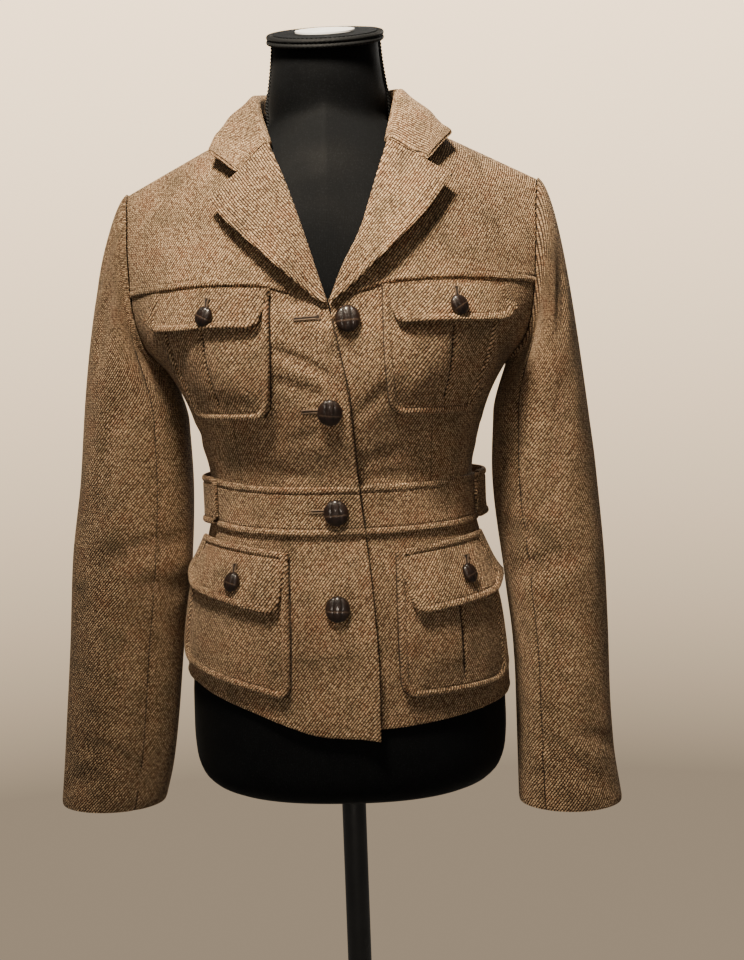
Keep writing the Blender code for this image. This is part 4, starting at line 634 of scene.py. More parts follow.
def body_depth(x, height, front):
    """Full front or back depth with the shoulder's rounding, before the side curve."""
    bust = BUST_HEIGHT * np.exp(-((np.abs(x) - BUST_X) / BUST_SPREAD) ** 2
                                - ((height - BUST_Z) / BUST_SPREAD) ** 2)
    full_depth = np.where(front, body_size("front_depth", height) + bust, body_size("back_depth", height))
    return full_depth * rounding(ridge_height(x) - height, np.where(front, FRONT_ROUNDING, BACK_ROUNDING))


def bare_point(angle, height):
    """Point of the jacket's outer face at an angle from the centre front."""
    power = 2.0 / SQUARENESS
    x = body_size("half_width", height) * signed_power(np.sin(angle), power)
    toward_front = np.cos(angle)
    y = -body_depth(x, height, toward_front > 0.0) * signed_power(toward_front, power)
    return together(x, y, height + 0.0 * x)


def body_point(angle, height, lift=0.0):
    """Point of the outer face moved out along the face's normal."""
    along = bare_point(angle + STEP, height) - bare_point(angle - STEP, height)
    upward = bare_point(angle, height + STEP) - bare_point(angle, height - STEP)
    return bare_point(angle, height) + unit(np.cross(along, upward)) * np.asarray(lift)[..., None]


def angle_at(x, height):
    """Angle of the front face's point at a distance from the centre."""
    share = np.clip(np.abs(x) / body_size("half_width", height), 0.0, 1.0)
    return np.sign(x) * np.arcsin(share ** (SQUARENESS / 2.0))


def x_at(angle, height):
    return bare_point(angle, height)[..., 0]


def armhole_x(height):
    return float(x_at(armhole_angle(height), height))


def front_places(x, height):
    """Angles and heights of places on the front face."""
    return together(angle_at(x, height), height + 0.0 * x)


def front_point(x, height, lift=0.0):
    """Point of the front face moved out."""
    return body_point(angle_at(x, height), height, lift)


def lap_lift(grid):
    """Lift of the right front where it lies on the left front."""
    x = x_at(grid[..., 0], grid[..., 1])
    faded = 1.0 - ease(LAP_FADE_LOW, LAP_FADE_HIGH, grid[..., 1])
    return LAP_LIFT * ease(*LAP_EDGES, x) * faded


def lifted_front(x, height, lift):
    """Point of a front moved out, above the lap where the place is on the right front."""
    grid = front_places(x, height)
    lap = np.where(grid[..., 0] < 0.0, lap_lift(grid), 0.0)
    return body_point(grid[..., 0], grid[..., 1], lift + lap)


def right_front_surface(x, height, extra=0.0):
    """Point of the right front's outer face, on the lap."""
    grid = front_places(x, height)
    return body_point(grid[..., 0], grid[..., 1], lap_lift(grid) + extra)


def belt_surface(x, height, extra=0.0):
    return right_front_surface(x, height, BELT_LIFT + extra)


def fold_radius(shares):
    return between(FOLD_RADIUS_AT_BREAK, FOLD_RADIUS, ease(0.0, FOLD_OPENING, shares))


def catmull(stations, count):
    """Smooth curve through stations of points, stepped evenly."""
    padded = np.concatenate([2 * stations[:1] - stations[1:2], stations, 2 * stations[-1:] - stations[-2:-1]])
    result = []
    for place in np.linspace(0.0, len(stations) - 1.0, count):
        k = min(int(place), len(stations) - 2)
        s = place - k
        a, b, c, d = padded[k:k + 4]
        result.append(0.5 * (2 * b + (c - a) * s + (2 * a - 5 * b + 4 * c - d) * s ** 2
                             + (3 * b - a - 3 * c + d) * s ** 3))
    return np.array(result)


def armhole_point(side, share):
    """Armhole loop: 0 at the shoulder tip, then front, armpit at 0.5, and back."""
    turn = 2.0 * math.pi * share
    height = between(ARMPIT_Z, SHOULDER_TIP_Z, (1.0 + np.cos(turn)) / 2.0)
    angle = armhole_angle(height)
    angle = np.where(np.sin(turn) >= 0.0, angle, math.pi - angle)
    return body_point(side * angle, height)


def sleeve_ring(side, rows, share, height):
    turn = 2.0 * math.pi * share
    sizes = [column(rows, SLEEVE_COLUMNS, name, height) for name in SLEEVE_COLUMNS[1:]]
    inner_x, outer_x, centre_y, half_depth = sizes
    x = side * ((inner_x + outer_x) / 2.0 + (outer_x - inner_x) / 2.0 * np.cos(turn))
    return together(x, centre_y - half_depth * np.sin(turn), height + 0.0 * x)


def sleeve_point(side, rows, share, along):
    """Sleeve face: along runs 0 to 1 over the cap and 1 to 2 down to the cuff."""
    turn = 2.0 * math.pi * share
    start = armhole_point(side, share)
    loop = unit(armhole_point(side, share + SMALL_TURN) - armhole_point(side, share - SMALL_TURN))
    sideways = np.array([side, 0.0, 0.0])
    outward = unit(sideways - loop * (loop @ sideways)[..., None])
    under = np.clip(-np.cos(turn), 0.0, 1.0) ** UNDERARM_POWER
    top = np.clip(np.cos(turn), 0.0, 1.0) ** CAP_TOP_POWER
    rise = UNDERARM_TURN * under - CAP_TOP_SLOPE * top
    outward = unit(outward + together(0.0 * rise, 0.0 * rise, rise))
    upper = sleeve_ring(side, rows, share, np.full_like(share, UPPER_ARM_Z))
    below = sleeve_ring(side, rows, share, np.full_like(share, UPPER_ARM_Z - FALL_STEP))
    distance = np.linalg.norm(upper - start, axis=-1, keepdims=True)
    start = start + outward * ARMHOLE_SEAM
    first = start + outward * between(CAP_REACH, UNDERARM_REACH, under)[..., None]
    second = upper - unit(below - upper) * (distance * between(CAP_FALL, UNDERARM_FALL, under[..., None]))
    s = np.clip(along, 0.0, 1.0)[..., None]
    rest = 1.0 - s
    cap = rest ** 3 * start + 3.0 * s * rest ** 2 * first + 3.0 * s ** 2 * rest * second + s ** 3 * upper
    height = between(UPPER_ARM_Z, rows[0][0], np.clip(along - 1.0, 0.0, 1.0))
    tube = sleeve_ring(side, rows, share, height)
    return np.where((along <= 1.0)[..., None], cap, tube)


def corner_rise(across, corner, width):
    """Rise of a patch's lower edge into its rounded corners."""
    share = corner / width
    into_corner = np.clip((np.abs(across - 0.5) - (0.5 - share)) / share, 0.0, 1.0)
    return corner * (1.0 - np.sqrt(1.0 - into_corner ** 2))


def flap_size(flap):
    """Width and length of a flap."""
    return flap["low_outer_x"] - flap["low_inner_x"], flap["top_inner_z"] - flap["low_inner_z"]


def flap_place(flap, across, down):
    """Place on a flap by its shares across and down."""

    def edge(level, axis):
        return between(flap[level + "_inner_" + axis], flap[level + "_outer_" + axis], across)

    low_z = edge("low", "z") + corner_rise(across, FLAP_CORNER, flap_size(flap)[0])
    return between(edge("top", "x"), edge("low", "x"), down), between(edge("top", "z"), low_z, down)


class Signal:
    """Output of a shader node that takes part in plain arithmetic."""

    def __init__(self, nodes, socket):
        self.nodes = nodes
        self.socket = socket

    def math(self, operation, *others):
        return self.nodes.add("ShaderNodeMath", {"operation": operation}, dict(enumerate((self,) + others)))

    def __add__(self, other):
        return self.math("ADD", other)

    def __sub__(self, other):
        return self.math("SUBTRACT", other)

    def __rsub__(self, other):
        return self.math("MULTIPLY", -1.0).math("ADD", other)

    def __mul__(self, other):
        return self.math("MULTIPLY", other)

    def __truediv__(self, other):
        return self.math("DIVIDE", other)

    __radd__, __rmul__ = __add__, __mul__


class Nodes:
    """Node tree whose nodes are added one at a time."""

    def __init__(self, tree):
        self.tree = tree

    def add(self, kind, settings, sockets, output=0):
        node = self.tree.nodes.new(kind)
        for setting, value in settings.items():
            setattr(node, setting, value)
        self.connect(node, sockets)
        return Signal(self, node.outputs[output])

    def connect(self, node, sockets):
        for socket, value in sockets.items():
            if isinstance(value, Signal):
                self.tree.links.new(value.socket, node.inputs[socket])
            else:
                node.inputs[socket].default_value = value

    def split(self, vector):
        first = self.add("ShaderNodeSeparateXYZ", {}, {0: vector})
        return [Signal(self, output) for output in first.socket.node.outputs]

    def join(self, x, y, z):
        return self.add("ShaderNodeCombineXYZ", {}, {0: x, 1: y, 2: z})

    def place(self, kind="Object"):
        return self.add("ShaderNodeTexCoord", {}, {}, kind)

    def noise(self, vector, scale, detail=2.0, roughness=0.5):
        return self.add("ShaderNodeTexNoise", {}, {"Vector": vector, "Scale": scale, "Detail": detail,
                                                   "Roughness": roughness}, "Fac")

    def steps(self, value, low, high, start=0.0, end=1.0):
        return self.add("ShaderNodeMapRange", {"interpolation_type": "SMOOTHSTEP"},
                        {"Value": value, "From Min": low, "From Max": high, "To Min": start, "To Max": end})

    def mix(self, share, first, second, blend="MIX"):
        return self.add("ShaderNodeMix", {"data_type": "RGBA", "blend_type": blend, "clamp_factor": True},
                        {0: share, 6: first, 7: second}, 2)


class Finish(Nodes):
    """One material of the jacket, the form, its stand or the floor."""

    def __init__(self, name, constants):
        self.material = bpy.data.materials.new(name)
        self.material.use_nodes = True
        super().__init__(self.material.node_tree)
        self.shader = self.tree.nodes["Principled BSDF"]
        self.connect(self.shader, constants)

    def cloth(self):
        return self.add("ShaderNodeUVMap", {"uv_map": "cloth"}, {})

    def value_of(self, attribute):
        return self.add("ShaderNodeAttribute", {"attribute_name": attribute}, {}, "Fac")

    def bump(self, height, strength, distance):
        return self.add("ShaderNodeBump", {}, {"Height": height, "Strength": strength, "Distance": distance})

    def two_tones(self, cloud, first, second):
        return self.mix(self.steps(cloud, *CLOUD_EDGES), first, second)

    def finished(self, colour, rough, others):
        """Feed the shader; rough is the signal and its roughness at the low and the high end."""
        signal, low, high = rough
        roughness = self.steps(signal, *ROUGH_EDGES, low, high)
        self.connect(self.shader, {"Base Color": colour, "Roughness": roughness, **others})
        return self.material


def tweed(name, lean):
    """Twill of mixed brown yarns: slanted ribs of light floats, dark grooves and heather."""
    cloth = Finish(name, {"Sheen Weight": 0.18, "Sheen Roughness": 0.5, "Specular IOR Level": 0.10,
                          "Sheen Tint": TWEED_SHEEN})
    place = cloth.cloth()
    u, v, _ = cloth.split(place)
    drift = cloth.noise(place, DRIFT_SCALE) * TWILL_DRIFT
    drift = drift + cloth.noise(place, JITTER_SCALE, 1.0) * TWILL_JITTER
    across = u * (lean / TWILL_PITCH) - v * (TWILL_STEEPNESS / TWILL_PITCH) + drift
    along = v + u * (YARN_LEAN * lean)
    number = across.math("FLOOR")
    groove = cloth.steps((across.math("FRACT") - 0.5).math("ABSOLUTE") * 2.0, *GROOVE_EDGES)
    yarn = cloth.noise(cloth.join(number * RIB_SHIFT, along * YARN_PACE, 0.0), 1.0, 2.0, 0.7)
    lay = (along / YARN_FLOAT + number * FLOAT_SHIFT + yarn * FLOAT_SWAY).math("FRACT")
    gap = cloth.steps((lay - 0.5).math("ABSOLUTE") * 2.0, *FLOAT_EDGES)
    heather = cloth.noise(place, HEATHER_SCALE, 2.0, 0.7)
    patch_tone = cloth.noise(place, PATCH_SCALE, 3.0, 0.6)
    broad = cloth.noise(place, BROAD_SCALE, 3.0, 0.6)
    colour = cloth.mix(cloth.steps(yarn, *YARN_EDGES), TWEED_BROWN, TWEED_TAN)
    for signal, low, high, share, tone in ((heather, 0.54, 0.70, 0.60, TWEED_RUST),
                                           (heather, 0.46, 0.30, 0.45, TWEED_OLIVE),
                                           (patch_tone, 0.50, 0.70, 0.38, TWEED_RUST),
                                           (patch_tone, 0.48, 0.30, 0.38, TWEED_OLIVE)):
        colour = cloth.mix(cloth.steps(signal, low, high) * share, colour, tone)
    colour = cloth.mix(groove * GROOVE_SHARE, colour, TWEED_DARK)
    colour = cloth.mix(gap * GAP_SHARE, colour, TWEED_DARK)
    shade = cloth.steps(broad, 0.32, 0.68, 0.78, 1.18) * cloth.steps(patch_tone, 0.36, 0.64, 0.92, 1.10)
    colour = cloth.mix(1.0, colour, cloth.join(shade, shade, shade), "MULTIPLY")
    height = 1.0 - groove * GROOVE_SINK - gap * GAP_SINK + heather * HEATHER_RISE
    return cloth.finished(colour, (heather, 0.82, 0.95), {"Normal": cloth.bump(height, 0.9, 0.0009)})


def leather():
    """Glossy dark hide with fine grain, sunk seams and one pale line of thread."""
    hide = Finish("leather", {"Coat Weight": 0.40, "Coat Roughness": 0.14, "Specular IOR Level": 0.30})
    place = hide.place()
    grain = hide.add("ShaderNodeTexVoronoi", {"feature": "DISTANCE_TO_EDGE"},
                     {"Vector": place, "Scale": HIDE_GRAIN_SCALE})
    cloud = hide.noise(place, HIDE_CLOUD_SCALE, 3.0)
    colour = hide.two_tones(cloud, LEATHER_DARK, LEATHER_BROWN)
    colour = hide.mix(hide.value_of("seam") * 0.80, colour, LEATHER_SEAM)
    colour = hide.mix(hide.value_of("line") * 0.40, colour, LEATHER_LINE)
    height = hide.steps(grain, 0.0, 0.35) * 0.5 + cloud * 0.5
    return hide.finished(colour, (cloud, 0.32, 0.46), {"Normal": hide.bump(height, 0.45, 0.0003)})


def form_cover():
    """Black knit: fine upright ribs broken into stitches."""
    knit = Finish("form_cover", {"Sheen Weight": 0.02, "Sheen Roughness": 0.4, "Specular IOR Level": 0.08})
    place = knit.place()
    x, y, z = knit.split(place)
    rib = (y.math("ARCTAN2", x) * KNIT_RADIUS / KNIT_RIB).math("FRACT") - 0.5
    stitch = ((z + rib.math("ABSOLUTE") * KNIT_SLANT) / KNIT_STITCH).math("FRACT") - 0.5
    height = 1.0 - rib.math("ABSOLUTE") - stitch.math("ABSOLUTE") * 0.7
    cloud = knit.noise(place, KNIT_CLOUD_SCALE, 3.0)
    speck = knit.steps(knit.noise(place, KNIT_SPECK_SCALE, 2.0, 0.7), 0.50, 0.72)
    colour = knit.mix(speck * 0.6, knit.two_tones(cloud, COVER_BLACK, COVER_GREY), COVER_SPECK)
    return knit.finished(colour, (cloud, 0.62, 0.80), {"Normal": knit.bump(height, 0.35, 0.0003)})


def plain_finish(name, first, second, scale, rough, bump_strength, bump_distance, constants):
    """Two close shades with fine grain, for trim, core, thread, painted metal and the painted shade of slits
    and strips.
    """
    skin = Finish(name, constants)
    place = skin.place()
    grain = skin.noise(place, scale, 3.0, 0.6)
    cloud = skin.noise(place, scale / CLOUD_TO_GRAIN, 3.0)
    colour = skin.two_tones(cloud, first, second)
    return skin.finished(colour, (grain, *rough), {"Normal": skin.bump(grain, bump_strength, bump_distance)})


def floor_finish():
    """Pale floor that fades into the plain background away from the stand."""
    ground = Finish("floor", {"Specular IOR Level": 0.2})
    place = ground.place()
    x, y, _ = ground.split(place)
    reach = (x * x + y * y).math("SQRT")
    cloud = ground.noise(place, FLOOR_CLOUD_SCALE, 3.0)
    colour = ground.two_tones(cloud, FLOOR_PALE, FLOOR_WARM)
    fade = ground.steps(reach, *FLOOR_FADE, 1.0, 0.0)
    return ground.finished(colour, (cloud, 0.75, 0.90), {"Alpha": fade})


def studio_world():
    """Low soft light all round, behind which a pale backdrop is seen, with painted light falloff from bright
    at the top to dark at the bottom.
    """
    world = bpy.data.worlds.new("studio")
    world.use_nodes = True
    sky = Nodes(world.node_tree)
    soft = sky.tree.nodes["Background"]
    sky.connect(soft, {"Color": SOFT_LIGHT, "Strength": SOFT_STRENGTH})
    height = sky.split(sky.place("Generated"))[2]
    # Painted light falloff on the backdrop: dark at the bottom, bright at the top
    rise = sky.add("ShaderNodeMapRange", {},
                   {"Value": height, "From Min": BACKDROP_FROM, "From Max": BACKDROP_TO})
    backdrop = sky.add("ShaderNodeBackground", {}, {"Color": sky.mix(rise, BACKDROP_LOW, BACKDROP_HIGH)})
    seen = sky.add("ShaderNodeLightPath", {}, {}, "Is Camera Ray")
    blend = sky.add("ShaderNodeMixShader", {}, {0: seen, 1: Signal(sky, soft.outputs[0]), 2: backdrop})
    sky.connect(sky.tree.nodes["World Output"], {"Surface": blend})
    return world


def add_object(name, data):
    """New object of the scene around a mesh, a light or a camera."""
    item = bpy.data.objects.new(name, data)
    bpy.context.scene.collection.objects.link(item)
    return item


def declare(piece, slot, node=None):
    """Set a piece on the body, in place of a plain solid where one is named."""
    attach(piece, "root")
    if node:
        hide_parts(node)


def crowd(length, spacing, low_edge=True, high_edge=True, marks=()):
    """Shares of a length from 0 to 1, close together at sewn edges and at marked distances."""
    edge = np.array(EDGE_STEPS)
    low = edge if low_edge else edge[:1]
    high = length - (edge if high_edge else edge[:1])[::-1]
    steps = max(int((high[0] - low[-1]) / spacing), 1)
    places = [low, np.linspace(low[-1], high[0], steps + 1)[1:-1], high]
    places += [mark + np.array(MARK_STEPS) for mark in marks]
    places = np.sort(np.concatenate(places))
    places = places[np.concatenate([[True], np.diff(places) > LEAST_STEP])]
    places[-1] = length
    return np.clip(places / length, 0.0, 1.0)


def welt(distance, rise=WELT_RISE):
    """Puffed band along a sewn edge: a soft rim, a full band and a stitched ditch."""
    band = np.clip(1.0 - (2.0 * distance / WELT_WIDTH - 1.0) ** 4, 0.0, 1.0)
    ditch = bell(distance - WELT_WIDTH, DITCH_WIDTH)
    return rise * band - DITCH_DEPTH * ditch - RIM_DROP * bell(distance, RIM_WIDTH)


def fold_lift(across, up, rows):
    """Soft troughs with raised shoulders, one for each row of a crease table."""
    lift = 0.0 * across
    for row in rows:
        crease = dict(zip(CREASE_COLUMNS, row))
        turn = math.radians(crease["turn"])
        right, above = across - crease["across"], up - crease["up"]
        along = right * math.cos(turn) + above * math.sin(turn)
        away = above * math.cos(turn) - right * math.sin(turn) + crease["bow"] * along ** 2
        narrow = (away / crease["width"]) ** 2
        ends = np.exp(-(along / crease["length"]) ** 4)
        lift = lift - crease["depth"] * (1.0 - narrow) * np.exp(-narrow) * ends
    return lift


def edge_distance(x, z, line_x, line_z):
    """Distance of each place to the nearest point of a dense outline."""
    flat = together(np.ravel(x), np.ravel(z))
    line = together(line_x, line_z)
    best = np.full(len(flat), np.inf)
    for a, b in zip(line[:-1], line[1:]):
        run = b - a
        share = np.clip(((flat - a) @ run) / max(run @ run, TINY), 0.0, 1.0)
        best = np.minimum(best, np.linalg.norm(flat - a - share[:, None] * run, axis=1))
    return best.reshape(np.shape(x))


def patch(bottom, top, start, end, across, up):
    """Fill a grid between four edge curves, each an array of (angle, height)."""
    across = across[None, :, None]
    up = up[:, None, None]
    ruled = (1.0 - up) * bottom[None] + up * top[None]
    ruled = ruled + (1.0 - across) * start[:, None] + across * end[:, None]
    corners = ((1.0 - up) * ((1.0 - across) * bottom[0] + across * bottom[-1])
               + up * ((1.0 - across) * top[0] + across * top[-1]))
    return ruled - corners


def grid_normals(points):
    normal = np.cross(np.gradient(points, axis=1), np.gradient(points, axis=0))
    return normal / np.maximum(np.linalg.norm(normal, axis=-1, keepdims=True), TINY)


def body_cloth(points, front=True):
    """Cloth coordinates of places on the body: straight grain, measured round it, seen from outside."""
    x, y, z = points[..., 0], points[..., 1], points[..., 2]
    facing = 1.0 if front else -1.0
    drop = np.abs(y + facing * body_depth(0.0 * x, np.minimum(z, NECK_POINT_Z), front))
    round_x = (np.abs(x) ** ROUND_POWER + drop ** ROUND_POWER) ** (1.0 / ROUND_POWER)
    return together(facing * np.sign(x) * round_x, z)


def arc_cloth(points, zero_column, zero_row, across_sign=1.0, up_sign=1.0):
    """Cloth coordinates measured along a grid's own rows and columns."""
    width = np.linalg.norm(np.diff(points, axis=1), axis=-1)
    length = np.linalg.norm(np.diff(points, axis=0), axis=-1)
    u = np.concatenate([np.zeros((points.shape[0], 1)), np.cumsum(width, axis=1)], axis=1)
    v = np.concatenate([np.zeros((1, points.shape[1])), np.cumsum(length, axis=0)], axis=0)
    return together(across_sign * (u - u[:, zero_column][:, None]), up_sign * (v - v[zero_row][None, :]))


def shell_mesh(name, outer, inner, cloth):
    """Thin closed shell between an outer and an inner grid, with cloth coordinates in metres."""
    rows, columns = outer.shape[:2]
    count = rows * columns
    index = np.arange(count).reshape(rows, columns)
    front = together(index[:-1, :-1], index[:-1, 1:], index[1:, 1:], index[1:, :-1]).reshape(-1, 4)
    rim = np.concatenate([index[0, :], index[1:, -1], index[-1, -2::-1], index[-2:0:-1, 0]])
    following = np.roll(rim, -1)
    sides = together(following, rim, rim + count, following + count)
    faces = np.concatenate([front, front[:, ::-1] + count, sides])
    points = np.concatenate([outer.reshape(-1, 3), inner.reshape(-1, 3)])
    corner = points[front]
    outward = corner.mean(axis=1) - points[front + count].mean(axis=1)
    facing = np.cross(corner[:, 2] - corner[:, 0], corner[:, 3] - corner[:, 1])
    if np.sum(facing * outward) < 0.0:
        faces = faces[:, ::-1]
    mesh = bpy.data.meshes.new(name)
    mesh.from_pydata(points.tolist(), [], faces.tolist())
    layer = mesh.uv_layers.new(name="cloth")
    flat = np.concatenate([cloth.reshape(-1, 2), cloth.reshape(-1, 2)])[faces.ravel()]
    layer.data.foreach_set("uv", flat.astype(np.float32).ravel())
    mesh.shade_smooth()
    mesh.set_sharp_from_angle(angle=CLOTH_SHARP)
    return add_object(name, mesh)


def cloth_piece(node, outer, inner, cloth, finish="tweed"):
    """One cut piece of the jacket in place of its plain solid."""
    piece = shell_mesh(node + "_cloth", outer, inner, cloth)
    piece.data.materials.append(finishes[finish])
    declare(piece, "tweed", node)
    side_a = outer[1:, 1:] - outer[:-1, :-1]
    side_b = outer[1:, :-1] - outer[:-1, 1:]


def body_piece(node, angle, height, lift, detail, front=True):
    """Cut piece stretched on the form, from its lift and the detail of its outer face."""
    outer = body_point(angle, height, lift + detail)
    inner = body_point(angle, height, lift - CLOTH)
    cloth = body_cloth(body_point(angle, height), front)
    cloth_piece(node, outer, inner, cloth)


def front_grid(side, edge_rows, hem_rows, across, rows):
    """Angles and heights over one front, from its front edge to the side seam."""
    up = np.linspace(0.0, 1.0, rows)
    first_x = side * float(front_edge_x(edge_rows, YOKE_ROWS[0][1]))
    x = between(first_x, armhole_x(YOKE_ROWS[-1][1]), across)
    top = front_places(side * x, yoke_height(x) - SEAM / 2.0)
    low_z = hem_rows[-1][1] if side == RIGHT else hem_rows[0][1]
    start_z = np.linspace(low_z, top[0, 1], rows)
    start = front_places(front_edge_x(edge_rows, start_z), start_z)
    start[-1] = top[0]
    side_low = float(hem_height(hem_rows, side * math.pi / 2.0))
    lower = between(side_low, ARMPIT_Z, np.clip(up / FRONT_SIDE_SHARE, 0.0, 1.0))
    reach = np.clip((up - FRONT_SIDE_SHARE) / (1.0 - FRONT_SIDE_SHARE), 0.0, 1.0)
    end_z = lower + (top[-1, 1] - ARMPIT_Z) * reach ** ARMHOLE_CROWDING
    end_angle = np.where(up <= FRONT_SIDE_SHARE, math.pi / 2.0, armhole_angle(end_z))
    end = together(side * (end_angle - SEAM_ANGLE), end_z)
    end[-1, 0] = top[-1, 0]
    bottom_angle = between(start[0, 0], end[0, 0], across)
    bottom = together(bottom_angle, hem_height(hem_rows, bottom_angle))
    start[0], end[0] = bottom[0], bottom[-1]
    return patch(bottom, top, start, end, across, up)


def edge_lift(from_edge, height):
    """Rise of the right front toward its free edge, none at the break of the lapel."""
    below_break = 1.0 - ease(LAP_FADE_LOW - FRONT_EDGE_FADE, LAP_FADE_LOW, height)
    lip = FRONT_LIP * bell(from_edge, FRONT_LIP_WIDTH)
    return (FRONT_EDGE_LIFT * (1.0 - ease(0.0, FRONT_EDGE_REACH, from_edge)) + lip) * below_break


def edge_shadow():
    """Painted shadow beside the right front's free edge: a dark strip on the left front and on its belt."""
    rise = float(belt_rise(angle_at(np.array(RIGHT_EDGE_ROWS[3][1]), np.array(BELT_LOW))))
    belt_low, belt_high = BELT_LOW + rise, BELT_HIGH + rise
    for low, high, lift in ((LEFT_HEM_ROWS[1][1], belt_low, 0.0), (belt_low, belt_high, BELT_LIFT),
                            (belt_high, LAP_FADE_LOW, 0.0)):
        z = np.linspace(low + STRIP_END, high - STRIP_END, OUTLINE_POINTS)
        x = front_edge_x(RIGHT_EDGE_ROWS, z) + EDGE_STRIP_AWAY
        shade_strip(*on_surface(front_point, x, z, lift + STRIP_RISE), FOLD_STRIP, shades)


def build_front(side, edge_rows, hem_rows, folds, dart):
    """Lower front with its lapped edge, hem, waist dart and creases."""
    across = crowd(FRONT_SPAN, CLOTH_STEP, high_edge=False)
    grid = front_grid(side, edge_rows, hem_rows, across, FRONT_ROWS_FINE)
    angle, height = grid[..., 0], grid[..., 1]
    x = x_at(angle, height)
    from_edge = side * (x - front_edge_x(edge_rows, height))
    lap = lap_lift(grid) + edge_lift(from_edge, height) if side == RIGHT else 0.0 * x
    from_hem = height - hem_height(hem_rows, angle)
    from_yoke = yoke_height(side * x) - height
    detail = welt(from_edge, FRONT_WELT_RISE) + welt(from_hem, FRONT_WELT_RISE)
    detail = detail - YOKE_TUCK * bell(np.clip(from_yoke, 0.0, None), WELT_WIDTH)
    detail = detail + fold_lift(x, height, folds)
    low, high = dart[0][0], dart[-1][0]
    in_dart = ease(low, low + DART_FADE, height) * (1.0 - ease(high - DART_FADE, high, height))
    from_dart = side * x - column(dart, DART_COLUMNS, "x", height)
    detail = detail - DART_DEPTH * bell(from_dart, DART_WIDTH) * in_dart
    # Dark strip of painted shade along the waist dart
    dart_z = np.linspace(low, high, OUTLINE_POINTS)
    dart_x = side * column(dart, DART_COLUMNS, "x", dart_z)
    shade_strip(*on_surface(front_point, dart_x, dart_z, STRIP_RISE - DART_DEPTH), DART_STRIP, shades)
    body_piece("front_" + WORDS[side], angle, height, lap, detail)


def yoke_grid(side, lapel_rows, across, rows):
    """Angles and heights over a front yoke, clear of the lapel's fold."""
    low = np.array(EDGE_STEPS) / YOKE_SPAN
    up = np.concatenate([low, np.linspace(low[-1], 1.0, rows)[1:]])
    rise = 1.0 - (1.0 - up) ** RIDGE_CROWDING
    neck_z = ridge_height(YOKE_NECK_X) - SHOULDER_SEAM_DROP
    start_z = between(YOKE_ROWS[0][1] + YOKE_CORNER_RISE, neck_z, rise)
    samples = np.linspace(0.0, 1.0, FOLD_SAMPLES)
    fold_share = np.interp(start_z, lapel_line(lapel_rows, "fold_z", samples), samples)
    start_x = lapel_line(lapel_rows, "fold_x", fold_share) + side * (fold_radius(fold_share) + FOLD_SEAM)
    above = ease(lapel_rows[-1][2] - YOKE_NECK_TURN, neck_z, start_z)
    start_x = between(start_x, side * YOKE_NECK_X, above)
    start = front_places(start_x, start_z)
    x = between(side * start_x[0], armhole_x(YOKE_ROWS[-1][1]), across)
    bottom = front_places(side * x, yoke_height(x) + SEAM / 2.0)
    bottom[0] = start[0]
    top_x = between(YOKE_NECK_X, armhole_x(SHOULDER_TIP_Z - SHOULDER_SEAM_DROP), across)
    top = front_places(side * top_x, ridge_height(top_x) - SHOULDER_SEAM_DROP)
    end_z = between(bottom[-1, 1], top[-1, 1], rise)
    end = together(side * (armhole_angle(end_z) - SEAM_ANGLE), end_z)
    bottom[-1], top[-1] = end[0], end[-1]
    top[0] = start[-1]
    return patch(bottom, top, start, end, across, up)


def build_yoke(side, lapel_rows, folds):
    """Upper front, lapped over the lower front along its stitched seam."""
    across = crowd(YOKE_WIDTH, CLOTH_STEP, low_edge=False, high_edge=False)
    grid = yoke_grid(side, lapel_rows, across, YOKE_ROWS_FINE)
    angle, height = grid[..., 0], grid[..., 1]
    x = x_at(angle, height)
    from_seam = height - yoke_height(np.maximum(side * x, 0.0))
    lapped = YOKE_LAP * (1.0 - ease(WELT_WIDTH, 2.0 * WELT_WIDTH, from_seam))
    detail = welt(np.clip(from_seam, 0.0, None)) + lapped
    detail = detail * ease(0.0, YOKE_NECK_FADE, side * x) + fold_lift(x, height, folds)
    stitch_x = np.linspace(*YOKE_STITCH_ENDS, OUTLINE_POINTS)
    stitch_z = yoke_height(stitch_x) + WELT_WIDTH
    stitch_lift = YOKE_LAP - DITCH_DEPTH + fold_lift(side * stitch_x, stitch_z, folds)
    dashes(*on_surface(front_point, side * stitch_x, stitch_z, stitch_lift), *stitches)
    body_piece("front_yoke_" + WORDS[side], angle, height, 0.0, detail)


